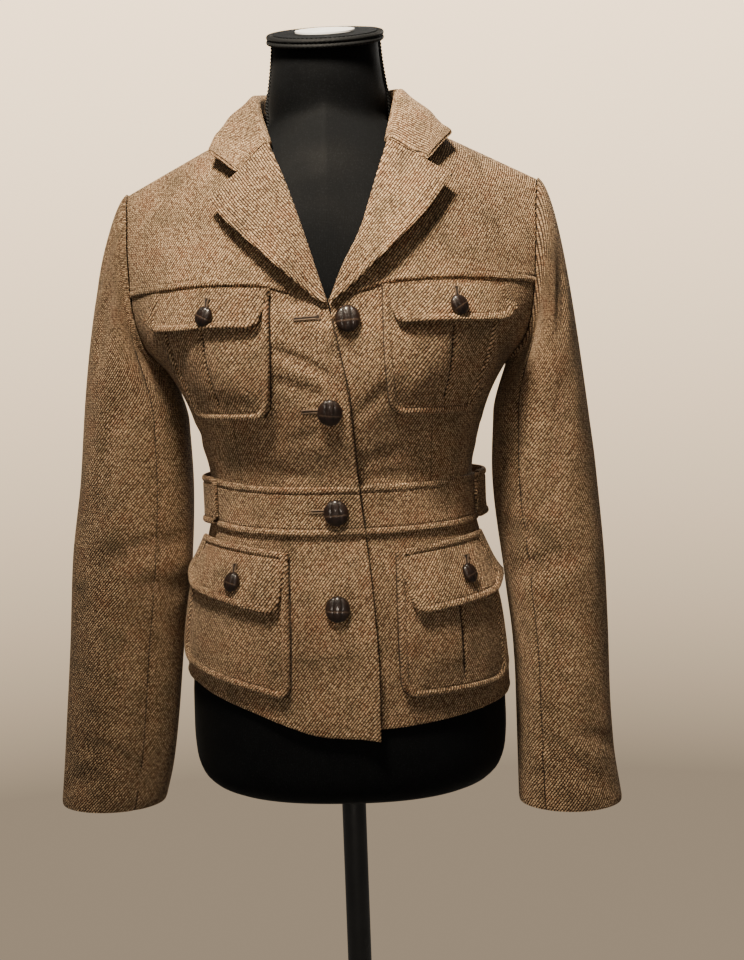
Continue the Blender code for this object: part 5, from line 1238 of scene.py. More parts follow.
def back_grid(columns, rows):
    """Angles and heights over the whole back, from the left side seam to the right."""
    up = np.linspace(0.0, 1.0, rows)
    armhole_rise = SHOULDER_TIP_Z - SHOULDER_SEAM_DROP - ARMPIT_Z
    reach = np.clip((up - BACK_SIDE_SHARE) / (1.0 - BACK_SIDE_SHARE), 0.0, 1.0)
    sides = []
    for side, low in ((LEFT, BACK_HEM_ROWS[0][1]), (RIGHT, BACK_HEM_ROWS[-1][1])):
        rising = between(low, ARMPIT_Z, np.clip(up / BACK_SIDE_SHARE, 0.0, 1.0))
        height = rising + armhole_rise * (1.0 - (1.0 - reach) ** RIDGE_CROWDING)
        angle = np.where(up <= BACK_SIDE_SHARE, math.pi / 2.0, armhole_angle(height)) - SEAM_ANGLE
        sides.append(together(math.pi - side * angle, height))
    start, end = sides
    tip_x = float(x_at(math.pi - start[-1, 0], start[-1, 1]))
    shoulder = np.linspace(tip_x, YOKE_NECK_X, columns // 3)
    neck = YOKE_NECK_X * np.cos(np.linspace(0.0, math.pi, columns // 3 + 1))
    top_x = np.concatenate([shoulder[:-1], neck, -shoulder[-2::-1]])
    neck_dip = BACK_NECK_DIP * (1.0 - ease(0.0, YOKE_NECK_X, np.abs(top_x)))
    top_z = np.minimum(ridge_height(top_x), ridge_height(YOKE_NECK_X)) - SHOULDER_SEAM_DROP - neck_dip
    top = together(math.pi - angle_at(top_x, top_z), top_z)
    bottom_angle = np.linspace(start[0, 0], end[0, 0], len(top_x))
    bottom = together(bottom_angle, hem_height(BACK_HEM_ROWS, bottom_angle))
    start[0], end[0], start[-1], end[-1] = bottom[0], bottom[-1], top[0], top[-1]
    return patch(bottom, top, start, end, np.linspace(0.0, 1.0, len(top_x)), up)


def build_back():
    """Back in one piece, with a hem and soft creases."""
    grid = back_grid(BACK_COLUMNS_FINE, BACK_ROWS_FINE)
    angle, height = grid[..., 0], grid[..., 1]
    from_hem = height - hem_height(BACK_HEM_ROWS, angle)
    detail = welt(from_hem, FRONT_WELT_RISE) + fold_lift(x_at(angle, height), height, BACK_FOLDS)
    body_piece("back", angle, height, 0.0, detail, False)


def folded_grids(side, fold_x, fold_z, edge_x, edge_z, radius, notch, shares, turns, faces, rim=False):
    """Points of a rolled fold on the body and of the cloth that falls back from it."""
    grids = []
    turn, face = turns[None, :], faces[None, :]
    start_x = fold_x + side * radius
    top_lift = 2.0 * radius - CLOTH
    toward_notch = np.minimum(face / NOTCH_SHARE, (1.0 - face) / (1.0 - NOTCH_SHARE))
    bent = ease(NOTCH_FROM, 1.0, shares) * toward_notch
    face_x = between(start_x, edge_x, face) + bent * (notch[0] - between(start_x, edge_x, NOTCH_SHARE))
    face_z = between(fold_z, edge_z, face) + bent * (notch[1] - between(fold_z, edge_z, NOTCH_SHARE))
    opened = ease(0.0, LAPEL_OPENING, shares)
    roll = LAPEL_ROLL * np.sin(math.pi * face) * opened
    stand = (LAPEL_LIFT + LAPEL_STAND * face - top_lift) * face
    on_front = BREAK_LIFT * (1.0 - ease(0.0, BREAK_FADE, shares))
    for depth in (0.0, CLOTH):
        turn_x = fold_x + side * (radius - (radius - depth) * np.cos(turn))
        turn_lift = radius - CLOTH + (radius - depth) * np.sin(turn)
        face_lift = top_lift + stand * opened + roll - depth
        if depth == 0.0 and rim:
            line = [np.concatenate([values[:, -1], values[-1, ::-1]]) for values in (face_x, face_z)]
            face_lift = face_lift + welt(edge_distance(face_x, face_z, *line), LAPEL_WELT_RISE)
        x = np.concatenate([turn_x, face_x], axis=1)
        z = np.concatenate([fold_z + 0.0 * turn, face_z], axis=1)
        grids.append(front_point(x, z, np.concatenate([turn_lift, face_lift], axis=1) + on_front))
    return grids


def build_lapel(side, lapel_rows, notch):
    """Turned-back lapel with its rolled fold and notched top edge."""
    shares = crowd(LAPEL_SPAN, CLOTH_STEP, low_edge=False)[:, None]
    turns = np.radians(np.linspace(-90.0, 90.0, FOLD_STEPS))
    faces = np.union1d(crowd(LAPEL_FACE, CLOTH_STEP, low_edge=False)[1:], [NOTCH_SHARE])
    values = [lapel_line(lapel_rows, name, shares) for name in LAPEL_COLUMNS[1:]]
    outer, inner = folded_grids(side, *values, fold_radius(shares), notch, shares, turns, faces, rim=True)
    finish = "tweed_facing" if side == RIGHT else "tweed"
    cloth_piece("lapel_" + WORDS[side], outer, inner, body_cloth(outer),
                finish)


def collar_station(row, side):
    """One cross-section of the collar: stand, rolled fold, fall."""
    values = dict(zip(COLLAR_COLUMNS, row))
    stand = np.array([side * values["stand_x"], values["stand_y"]])
    edge_x = (RIGHT_COLLAR_SPREAD if side == RIGHT else LEFT_COLLAR_SPREAD) * values["edge_x"]
    edge_z = values["edge_z"] + (values["edge_x"] - edge_x) * SHOULDER_SLOPE
    angle = angle_at(np.array(side * edge_x), np.array(edge_z))
    if values["edge_side"] == BACK:
        angle = math.pi - angle
    edge = body_point(angle, edge_z, COLLAR_EDGE_LIFT)
    outward = unit(edge[:2] - stand)
    centre_z = values["fold_z"] - FOLD_RADIUS
    points = [(*stand, between(values["seam_z"], centre_z, share)) for share in COLLAR_STAND_SHARES]
    for turn in COLLAR_TURN_ANGLES:
        reach = FOLD_RADIUS * (1.0 - math.cos(turn))
        points.append((*(stand + outward * reach), centre_z + FOLD_RADIUS * math.sin(turn)))
    fall_start = np.array((*(stand + outward * 2.0 * FOLD_RADIUS), centre_z))
    for share in COLLAR_FALL_SHARES:
        bulge = COLLAR_FALL_BULGE * math.sin(math.pi * share)
        points.append(between(fall_start, edge, share) + np.array((*outward, 1.0)) * bulge)
    return np.array(points)


def collar_end(side, lapel_rows, notch, corner):
    """Front end of the collar, level with the lapel's top edge."""
    fold_x, fold_z = lapel_rows[-1][1], lapel_rows[-1][2] + GORGE_GAP
    ones = np.ones((1, 1))
    outer, inner = folded_grids(side, fold_x * ones, fold_z * ones, corner[0] * ones, corner[1] * ones,
                                FOLD_RADIUS * ones, (notch[0], notch[1] + GORGE_GAP), ones,
                                TURN_ANGLES, FACE_SHARES)
    return outer[0], inner[0]


def build_collar():
    """Turned-down collar, smooth from one lapel round the neck to the other."""
    right_end, right_under = collar_end(RIGHT, RIGHT_LAPEL_ROWS, RIGHT_NOTCH, RIGHT_COLLAR_CORNER)
    left_end, left_under = collar_end(LEFT, LEFT_LAPEL_ROWS, LEFT_NOTCH, LEFT_COLLAR_CORNER)
    right = [collar_station(row, RIGHT) for row in COLLAR_ROWS[:0:-1]]
    left = [collar_station(row, LEFT) for row in COLLAR_ROWS]
    smooth = catmull(np.array([right_end] + right + left + [left_end]), COLLAR_COUNT_FINE)
    outer = np.swapaxes(catmull(np.swapaxes(smooth, 0, 1), COLLAR_SECTION_FINE), 0, 1)
    inner = outer - CLOTH * grid_normals(outer)
    for place, under in ((0, right_under), (-1, left_under)):
        inner[place] = catmull(under[:, None, :], COLLAR_SECTION_FINE)[:, 0]
    cloth = arc_cloth(outer, 0, COLLAR_COUNT_FINE // 2)
    cloth = together(cloth[..., 1], -cloth[..., 0])
    cloth_piece("collar", outer, inner, cloth, "tweed_facing")


def sleeve_steps(side, rows, share, along):
    """Small steps round a sleeve and down it."""
    across = (sleeve_point(side, rows, share + SMALL_TURN, along)
              - sleeve_point(side, rows, share - SMALL_TURN, along))
    before, after = np.clip(along - SMALL_TURN, 0.0, 2.0), np.clip(along + SMALL_TURN, 0.0, 2.0)
    return across, sleeve_point(side, rows, share, after) - sleeve_point(side, rows, share, before)


def seam_gap(side, rows, share, along):
    """Half of a sleeve seam's gap, as a share of the way round at each ring."""
    span, down = sleeve_steps(side, rows, np.full_like(along, share), along)
    down = unit(down)
    across = span - down * np.sum(span * down, axis=-1, keepdims=True)
    return SHOWN_SEAM * SMALL_TURN / np.linalg.norm(across, axis=-1)


def build_sleeve(name, side, rows, share_from, share_to, columns, folds):
    """One piece of a two-piece sleeve, from one long seam round to the other."""
    along = np.concatenate([np.linspace(0.0, 1.0, CAP_ROWS_FINE), np.linspace(1.0, 2.0, TUBE_ROWS_FINE)[1:]])
    first, last = (seam_gap(side, rows, share, along) for share in (share_from, share_to))
    step = np.linspace(0.0, 1.0, columns)[None, :]
    share = between((share_from + first)[:, None], (share_to - last)[:, None], step)
    along = along[:, None] + 0.0 * step
    inner = sleeve_point(side, rows, share, along)
    seam_share = np.array(share)
    seam_share[:, 0], seam_share[:, -1] = share_from, share_to
    normal = unit(np.cross(*sleeve_steps(side, rows, seam_share, along)) * side)
    height = inner[..., 2]
    from_seam = np.minimum(share - share_from, share_to - share) * SLEEVE_GIRTH
    detail = -SLEEVE_DITCH * bell(from_seam, SLEEVE_DITCH_WIDTH) * ease(0.0, SEAM_FROM, along)
    detail = detail - RIM_DROP * bell(height - rows[0][0], RIM_WIDTH)
    round_share = np.where(share < 0.0, share + 1.0, share)
    lift = fold_lift(round_share * SLEEVE_GIRTH, height, folds)
    detail = detail + SLEEVE_FOLD_DEPTH * lift * ease(0.0, SLEEVE_FOLD_FADE, along * CAP_LENGTH)
    outer = inner + normal * (CLOTH + detail)[..., None]
    middle = 0
    if share_from < FRONT_MIDDLE < share_to:
        middle = int(np.argmin(np.abs(share[-1] - FRONT_MIDDLE)))
        # Dark strips of painted shade along both long seams of the upper sleeve, below the cap
        below = along[:, 0] > SEAM_FROM
        for edge in (0, -1):
            shade_strip((outer + normal * STRIP_RISE)[below, edge], normal[below, edge], SEAM_STRIP, shades)
    cloth = arc_cloth(inner, middle, len(along) - 1, -side, -1.0)
    cloth_piece(name + WORDS[side], outer, inner, cloth)


def pocket_down(rows, height):
    """Share of the way down a pocket at a height."""
    top, bottom = rows[0][1], rows[-1][1]
    return np.clip((top - height) / (top - bottom), 0.0, 1.0)


def pocket_edges(rows, down):
    """Inner and outer edge of a pocket at a share of the way down."""
    return [column(rows, POCKET_COLUMNS, name, down) for name in ("inner_x", "outer_x")]


def pocket_lift(x, height, rows, bulge):
    """Outer lift of a pocket: sewn down at its edges, full in the middle."""
    down = pocket_down(rows, height)
    inner_x, outer_x = pocket_edges(rows, down)
    across = np.clip((np.abs(x) - inner_x) / (outer_x - inner_x), 0.0, 1.0)
    full = (np.sin(math.pi * across) * np.sin(math.pi * down)) ** POCKET_FULLNESS
    return LAY + CLOTH + bulge * full


def pleat_lift(x, height, rows):
    """Fold of a pocket's pleat: a narrow slit beside a lapped edge."""
    down = pocket_down(rows, height)
    away = np.abs(x) - between(*pocket_edges(rows, down), PLEAT_SHARE)
    open_share = ease(*PLEAT_TOP, down) * (1.0 - ease(*PLEAT_END, down))
    slit = PLEAT_SLIT_DEPTH * bell(away, PLEAT_SLIT_WIDTH)
    lapped = PLEAT_LAP * bell(away, PLEAT_LAP_WIDTH) * (away < 0.0)
    return (lapped - slit - PLEAT_DEPTH * bell(away, PLEAT_WIDTH)) * open_share


def pleat_strip(side, rows, bulge):
    """Painted shade inside a pocket's pleat: a dark strip sunk in its slit."""
    down = np.linspace(sum(PLEAT_TOP) / 2.0, sum(PLEAT_END) / 2.0, OUTLINE_POINTS)
    x = between(*pocket_edges(rows, down), PLEAT_SHARE)
    z = between(rows[0][1], rows[-1][1], down)
    lift = pocket_lift(x, z, rows, bulge) - PLEAT_DEPTH - PLEAT_SINK
    shade_strip(*on_surface(lifted_front, side * x, z, lift), FOLD_STRIP, slit_shades)


def outline(place, with_top=False):
    """Line round a patch: down one side, along its lower edge, up the other and, if asked, along its top."""
    run = np.linspace(0.0, 1.0, OUTLINE_POINTS)
    none, full = 0.0 * run, 0.0 * run + 1.0
    lines = [place(none, run), place(run, full), place(full, run[::-1])]
    if with_top:
        lines.append(place(run[::-1], none))
    return [np.concatenate(parts) for parts in zip(*lines)]


def build_pocket(node, side, rows, bulge, rise, pleated, folds):
    """Patch pocket with welted edges, stitches and, where it has one, an open pleat."""
    width = rows[-1][3] - rows[-1][2]
    top, bottom = rows[0][1], rows[-1][1]

    def place(across, down):
        low = bottom + corner_rise(across, POCKET_CORNER, width) + rise * across
        return between(*pocket_edges(rows, down), across), between(top, low, down)

    across = crowd(width, POCKET_STEP, marks=(width * PLEAT_SHARE,) if pleated else ())
    x, height = place(across[None, :], crowd(top - bottom, POCKET_STEP, low_edge=False)[:, None])
    line = outline(place)
    distance = edge_distance(x, height, *line)
    lift = pocket_lift(x, height, rows, bulge)
    cloth = body_cloth(lifted_front(side * x, height, lift)) + np.array(POCKET_CLOTH_SHIFT)
    if pleated:
        lift = lift + pleat_lift(x, height, rows)
        pleat_strip(side, rows, bulge)
    inside = ease(0.0, 2.0 * WELT_WIDTH, distance)
    lift = lift + POCKET_EDGE_LIFT * (1.0 - inside)
    detail = welt(distance, POCKET_WELT_RISE) + fold_lift(x, height, folds) * inside
    outer = lifted_front(side * x, height, lift + detail)
    inner = lifted_front(side * x, height, lift - CLOTH)
    stitch_x, stitch_z = inset_line(*line, WELT_WIDTH)
    stitch_lift = pocket_lift(stitch_x, stitch_z, rows, bulge) + POCKET_EDGE_LIFT / 2.0 - DITCH_DEPTH
    stitched = on_surface(lifted_front, side * stitch_x, stitch_z, stitch_lift)
    dashes(*stitched, *stitches)
    # Dark strips of painted shade: one in the stitched ditch and one outside the pocket's edge
    shade_strip(*stitched, DITCH_STRIP, shades)
    strip_x, strip_z = inset_line(*line, -POCKET_STRIP_AWAY)
    shade_strip(*on_surface(lifted_front, side * strip_x, strip_z, STRIP_RISE), SEAM_STRIP, shades)
    cloth_piece(node, outer, inner, cloth)


def flap_down(flap, x, z):
    """Share of the way down a flap of places on it."""
    width, length = flap_size(flap)
    across, down = 0.5 + 0.0 * x, 0.5 + 0.0 * x
    for _ in range(PLACE_STEPS):
        at_x, at_z = flap_place(flap, across, down)
        across = np.clip(across + (x - at_x) / width, 0.0, 1.0)
        down = np.clip(down + (at_z - z) / length, 0.0, 1.0)
    return down


def flap_lift(x, height, down, rows, bulge):
    """Outer lift of a flap lying on its pocket, its lower edge curled up."""
    on_pocket = pocket_lift(x, height, rows, bulge) + LAY + DOUBLE_CLOTH + FLAP_STAND_OFF * down ** 2
    return on_pocket + FLAP_CURL * down ** FLAP_CURL_POWER


def build_flap(node, side, flap, rows, bulge, top_sewn):
    """Pocket flap with a welted and stitched edge."""

    def place(across, down):
        return flap_place(flap, across, down)

    width, length = flap_size(flap)
    down = crowd(length, POCKET_STEP, low_edge=top_sewn)[:, None]
    x, height = place(crowd(width, POCKET_STEP)[None, :], down)
    line = outline(place, top_sewn)
    distance = edge_distance(x, height, *line)
    lift = flap_lift(x, height, down, rows, bulge)
    cloth = body_cloth(lifted_front(side * x, height, lift)) + np.array(FLAP_CLOTH_SHIFT)
    outer = lifted_front(side * x, height, lift + welt(distance, FLAP_WELT_RISE))
    inner = lifted_front(side * x, height, lift - DOUBLE_CLOTH)
    stitch_x, stitch_z = inset_line(*line, WELT_WIDTH)
    stitch_down = flap_down(flap, stitch_x, stitch_z)
    stitch_lift = flap_lift(stitch_x, stitch_z, stitch_down, rows, bulge) - DITCH_DEPTH
    dashes(*on_surface(lifted_front, side * stitch_x, stitch_z, stitch_lift), *stitches)
    cloth_piece(node, outer, inner, cloth)


def build_flapped_pocket(side, place, rows, bulge, rise, flap_row, pleated, folds):
    """Pocket, its flap, the flap's button and its buttonhole."""
    flap = dict(zip(FLAP_COLUMNS, flap_row))
    build_pocket(place + "_pocket_" + WORDS[side], side, rows, bulge, rise, pleated, folds)
    build_flap(place + "_flap_" + WORDS[side], side, flap, rows, bulge, place == "hip")
    down = flap["button_down"]
    x, height = flap_place(flap, np.array(flap["button_across"]), np.array(down))
    x, height = side * float(x), float(height)

    def flap_surface(x, height, extra=0.0):
        return lifted_front(x, height, flap_lift(x, height, down, rows, bulge) + extra)

    button = place + "_flap_button_" + WORDS[side]
    place_button(flap_button, button, flap_surface, x, height, FLAP_BUTTON_RADIUS)
    buttonhole(flap_surface, (x, height + FLAP_BUTTONHOLE_RISE, 90.0, FLAP_BUTTONHOLE_HALF))


def belt_stitches(outer, distance):
    """Stitches along both long edges of a belt, in the ditch beside each welt."""
    half, middle = outer.shape[0] // 2, outer.shape[1] // 2
    facing = grid_normals(outer)
    facing = facing * np.sign(np.sum(facing[0, middle] * outer[0, middle] * (1.0, 1.0, 0.0)))
    off_ditch = np.abs(distance[:, middle] - WELT_WIDTH)
    for row in (np.argmin(off_ditch[:half]), half + np.argmin(off_ditch[half:])):
        dashes(outer[row], facing[row], *stitches)


def build_front_belt(side, tab_angle):
    """Belt half sewn on a front, from the lapped edge to the side tab."""
    height = between(BELT_LOW, BELT_HIGH, crowd(BELT_HIGH - BELT_LOW, POCKET_STEP)[:, None])
    seam_x = 2.0 * SEAM if side == LEFT else -SEAM
    edge_angle = angle_at(front_edge_x(RIGHT_EDGE_ROWS, height) + seam_x, height)
    share = crowd(FRONT_BELT_SPAN, CLOTH_STEP, high_edge=False)[None, :]
    angle = between(edge_angle, math.radians(tab_angle), share)
    distance = np.minimum(height - BELT_LOW, BELT_HIGH - height) + 0.0 * angle
    height = height + belt_rise(angle)
    lift = BELT_LIFT + 0.0 * angle
    if side == RIGHT:
        lift = lift + lap_lift(together(angle, height)) + edge_lift(share * FRONT_BELT_SPAN, height)
    detail = welt(distance) + fold_lift(x_at(angle, height), height, BELT_FOLDS)
    outer = body_point(angle, height, lift + detail)
    inner = body_point(angle, height, lift - DOUBLE_CLOTH)
    belt_stitches(outer, distance)
    cloth = body_cloth(body_point(angle, height)) + np.array(BELT_CLOTH_SHIFT)
    cloth_piece("belt_" + WORDS[side], outer, inner, cloth)


def build_back_belt():
    """Belt half round the back, its ends lying on the front halves as tabs."""
    low, high = BELT_LOW + BACK_BELT_LOW_RISE, BELT_HIGH + BACK_BELT_HIGH_RISE
    up = crowd(high - low, POCKET_STEP)[:, None]
    start = LEFT_TAB_ANGLE - BACK_BELT_OVERLAP
    end = 360.0 + RIGHT_TAB_ANGLE + BACK_BELT_OVERLAP
    degrees = between(start, end, crowd(BACK_BELT_SPAN, CLOTH_STEP)[None, :])
    from_end = np.minimum(degrees - start, end - degrees)
    end_distance = np.radians(from_end) * WAIST_RADIUS
    corner = np.clip(1.0 - end_distance / TAB_CORNER, 0.0, 1.0)
    inset = TAB_CORNER * (1.0 - np.sqrt(1.0 - corner ** 2))
    height = low + inset + (high - low - 2.0 * inset) * up
    over_front = BELT_LIFT * (1.0 - ease(*BACK_BELT_STEP, from_end))
    bulge = np.where(degrees < 180.0, LEFT_BELT_BULGE, RIGHT_BELT_BULGE)
    bulge = bulge * bell(from_end - BACK_BELT_BULGE_ANGLE, BACK_BELT_BULGE_SPREAD)
    bulge = bulge * ease(0.0, BACK_BELT_FLAT_END, from_end)
    angle = np.radians(degrees) + 0.0 * height
    lift = BELT_LIFT + BACK_BELT_EASE + over_front + bulge + 0.0 * height
    distance = np.minimum(np.minimum(height - low - inset, high - inset - height), end_distance)
    height = height + belt_rise(angle)
    outer = body_point(angle, height, lift + welt(distance))
    inner = body_point(angle, height, lift - DOUBLE_CLOTH)
    belt_stitches(outer, distance)
    cloth = arc_cloth(outer, outer.shape[1] // 2, outer.shape[0] // 2)
    cloth_piece("belt_back", outer, inner, cloth)


def points_of(piece):
    """All points of a new primitive."""
    points = np.empty(len(piece.data.vertices) * 3)
    piece.data.vertices.foreach_get("co", points)
    return points.reshape(-1, 3)


def new_ball(segments, rings):
    """New ball of radius one about the origin, and its points."""
    bpy.ops.mesh.primitive_uv_sphere_add(segments=segments, ring_count=rings, radius=1.0)
    return bpy.context.object, points_of(bpy.context.object)


def move_points(piece, points):
    """Put all points of a piece in their places and shade it smooth."""
    piece.data.vertices.foreach_set("co", points.ravel())
    piece.data.shade_smooth()


def button_shape(radius, narrow):
    """Stitched leather button about its own centre, dome toward +Z."""
    shape, points = new_ball(BUTTON_SEGMENTS, BUTTON_RINGS)
    x, y, z = points.T
    dome = z > 0.0
    seam_x = BUTTON_SEAM_X * (1.0 - BUTTON_SEAM_BOW * y ** 2)
    seam = bell(np.abs(x) - seam_x, BUTTON_SEAM_WIDTH) * (z > BUTTON_SEAM_LOW)
    line = bell(y + BUTTON_LINE_DROP, BUTTON_LINE_WIDTH) * dome
    rise = np.where(dome, BUTTON_THICKNESS - BUTTON_SEAT_DEPTH, BUTTON_SEAT_DEPTH)
    shrink = 1.0 - BUTTON_SEAM_DEPTH / radius * seam
    puff = np.cos(math.pi * np.clip(x / BUTTON_SEAM_X, -BUTTON_PUFF_REACH, BUTTON_PUFF_REACH))
    swell = 1.0 + BUTTON_PUFF * puff * dome
    sunk = BUTTON_SEAM_DEPTH * seam * np.clip(z, 0.0, 1.0)
    height = signed_power(z, BUTTON_FLATNESS) * rise * swell - sunk - BUTTON_LINE_DEPTH * line
    height = np.clip(height, -BUTTON_SEAT_DEPTH, BUTTON_THICKNESS - BUTTON_SEAT_DEPTH)
    height = height + BUTTON_SEAT_DEPTH
    move_points(shape, together(x * radius * narrow * shrink, y * radius * shrink, height))
    for name, values in (("seam", seam), ("line", line)):
        layer = shape.data.attributes.new(name, "FLOAT", "POINT")
        layer.data.foreach_set("value", values.astype(np.float32))
    return shape


def turned_frame(right, up, toward, turn, spot):
    """Matrix at a spot whose right and up are turned about the third direction."""
    placed = np.eye(4)
    placed[:3, 0] = right * math.cos(turn) + up * math.sin(turn)
    placed[:3, 1] = up * math.cos(turn) - right * math.sin(turn)
    placed[:3, 2] = toward
    placed[:3, 3] = spot
    return Matrix(placed.tolist())


def place_button(shape, node, surface, x, height, radius):
    """Copy of a button set on the cloth at a place of the front."""
    reach = radius * BUTTON_REACH
    along = surface(x + reach, height) - surface(x - reach, height)
    upward = surface(x, height + reach) - surface(x, height - reach)
    normal = unit(np.cross(along, upward))
    right = unit(np.cross([0.0, 0.0, 1.0], normal))
    turn = math.radians(BUTTON_TURNS[node])
    spot = surface(x, height) + normal * BUTTON_SEAT
    mesh = shape.data.copy()
    mesh.transform(turned_frame(right, np.cross(normal, right), normal, turn, spot))
    mesh.materials.append(finishes["leather"])
    declare(add_object(node + "_leather", mesh), "leather", node)


def form_radius(turn, height):
    """Plan radius of the dress form: the body inside the jacket, blended into the neck."""
    sine, cosine = np.sin(turn), np.cos(turn)
    neck_height = height
    height = height + FORM_SHOULDER_DROP * ease(*FORM_DROP_EDGES, height)
    low, high = np.zeros_like(turn), np.full_like(turn, SEARCH_RADIUS)
    half_width = body_size("half_width", height)
    for _ in range(SEARCH_STEPS):
        middle = (low + high) / 2.0
        x = middle * sine
        share = np.clip(np.abs(x) / half_width, 0.0, 1.0)
        depth = body_depth(x, height, cosine > 0.0) * (1.0 - share ** SQUARENESS) ** (1.0 / SQUARENESS)
        inside = (middle * np.abs(cosine) < depth) & (np.abs(x) < half_width)
        low, high = np.where(inside, middle, low), np.where(inside, high, middle)
    clearance, at_side = (column(FORM_CLEARANCE_ROWS, FORM_CLEARANCE_COLUMNS, name, height)
                          for name in FORM_CLEARANCE_COLUMNS[1:])
    body = np.maximum(low - (clearance + at_side * sine ** SIDE_POWER), LEAST_RADIUS)
    neck_x, neck_y, centre = (column(NECK_ROWS, NECK_COLUMNS, name, neck_height) for name in NECK_COLUMNS[1:])
    a = (sine / neck_x) ** 2 + (cosine / neck_y) ** 2
    b = centre * cosine / neck_y ** 2
    c = (centre / neck_y) ** 2 - 1.0
    neck = (-b + np.sqrt(b * b - a * c)) / a
    joined = (body ** NECK_BLEND + neck ** NECK_BLEND) ** (1.0 / NECK_BLEND)
    return np.where(neck_height > NECK_ROWS[0][0], joined, body)


def neck_slant(y):
    """Rise of the neck's slanted top toward its back."""
    return math.tan(NECK_TILT) * (y - NECK_CENTRE_Y)


def neck_lift(y, height):
    """Rise toward the back of the neck below its slanted top."""
    return ease(NECK_TILT_FROM, NECK_TOP_Z, height) * neck_slant(y)


def hard_piece(piece, node, finish):
    """Finished piece of the form or its stand, in place of its plain solid."""
    piece.name = node + "_fine"
    piece.data.materials.clear()
    piece.data.materials.append(finishes[finish])
    declare(piece, finish, node)


def select_faces(piece, wanted):
    """Enter edit mode with only the wanted faces selected."""
    bpy.ops.object.mode_set(mode="EDIT")
    bpy.ops.mesh.select_mode(type="FACE")
    bpy.ops.mesh.select_all(action="DESELECT")
    bpy.ops.object.mode_set(mode="OBJECT")
    for face in piece.data.polygons:
        face.select = wanted(face)
    bpy.ops.object.mode_set(mode="EDIT")


def build_form():
    """Covered torso: a fine ball with its rings moved to the form's sections."""
    heights = np.concatenate([[FORM_BOTTOM_Z], np.array(FORM_HEIGHTS)])
    spots = np.linspace(0.0, len(heights) - 1.0, (len(heights) - 1) * FORM_STEPS + 1)
    heights = np.interp(spots, np.arange(len(heights)), heights)
    rings = len(heights)
    form, points = new_ball(FORM_SEGMENTS, rings + 1)
    polar = np.arccos(np.clip(points[:, 2], -1.0, 1.0))
    ring = np.round((1.0 - polar / math.pi) * (rings + 1)).astype(int) - 1
    height = heights[np.clip(ring, 0, rings - 1)]
    turn = np.arctan2(points[:, 0], -points[:, 1])
    radius = form_radius(turn, np.maximum(height, FORM_HEIGHTS[0]))
    radius = radius * column(FORM_BOTTOM_ROWS, FORM_BOTTOM_COLUMNS, "scale", height)
    y = -radius * np.cos(turn)
    placed = together(radius * np.sin(turn), y, height + neck_lift(y, height))
    placed[ring < 0] = (0.0, 0.0, FORM_BOTTOM_Z)
    placed[ring >= rings] = (0.0, NECK_CENTRE_Y, NECK_TOP_Z)
    move_points(form, placed)
    form.data.set_sharp_from_angle(angle=HARD_SHARP)
    hard_piece(form, "form_body", "form_cover")


def braid_run(turn):
    """Twisted braid laid down one side of the neck, from the rim to under the collar."""
    run, points = new_ball(BRAID_SIDES, RUN_RINGS)
    share = 1.0 - np.arccos(np.clip(points[:, 2], -1.0, 1.0)) / math.pi
    height = between(RUN_LOW_Z, NECK_TOP_Z - 2.0 * TRIM_HALF_HEIGHT, share)
    roll = np.arctan2(points[:, 1], points[:, 0])
    open_end = np.clip(np.hypot(points[:, 0], points[:, 1]) * RUN_RINGS, 0.0, 1.0)
    twist = 1.0 + BRAID_DEPTH * np.cos(2.0 * roll + 2.0 * math.pi * height / RUN_PITCH)
    size = RUN_RADIUS * twist * open_end
    reach = form_radius(np.full_like(height, turn), height) + RUN_RADIUS / 2.0 + size * np.cos(roll)
    away = size * np.sin(roll)
    y = -reach * math.cos(turn) + away * math.sin(turn)
    x = reach * math.sin(turn) + away * math.cos(turn)
    move_points(run, together(x, y, height + neck_lift(y, height)))
    return run


def build_neck_trim():
    """Two rows of twisted braid round the rim of the neck and a run down each side."""
    rows = []
    for level in (-1.0, 1.0):
        bpy.ops.mesh.primitive_torus_add(major_segments=BRAID_SEGMENTS, minor_segments=BRAID_SIDES,
                                         major_radius=1.0, minor_radius=BRAID_START)
        row = bpy.context.object
        points = points_of(row)
        turn = np.arctan2(points[:, 0], -points[:, 1])
        roll = np.arctan2(points[:, 2], np.hypot(points[:, 0], points[:, 1]) - 1.0)
        twist = 1.0 + BRAID_DEPTH * np.cos(2.0 * roll + level * BRAID_TWIST * 2.0 * turn)
        reach = form_radius(turn, np.full_like(turn, NECK_TOP_Z - TRIM_READ_DROP))
        reach = reach + TRIM_HALF_THICKNESS + TRIM_GAP
        reach = reach + TRIM_HALF_THICKNESS * np.cos(roll) * np.minimum(twist, 1.0)
        height = NECK_TOP_Z - TRIM_HALF_HEIGHT - TRIM_TOP_DROP + level * TRIM_HALF_HEIGHT / 2.0
        height = height + TRIM_HALF_HEIGHT / 2.0 * np.sin(roll) * twist
        y = -reach * np.cos(turn)
        move_points(row, together(reach * np.sin(turn), y, height + neck_slant(y)))
        rows.append(row)
    rows += [braid_run(turn) for turn in RUN_TURNS]
    bpy.ops.object.select_all(action="DESELECT")
    for row in rows:
        row.select_set(True)
    bpy.context.view_layer.objects.active = rows[0]
    bpy.ops.object.join()
    hard_piece(rows[0], "neck_trim", "braid")


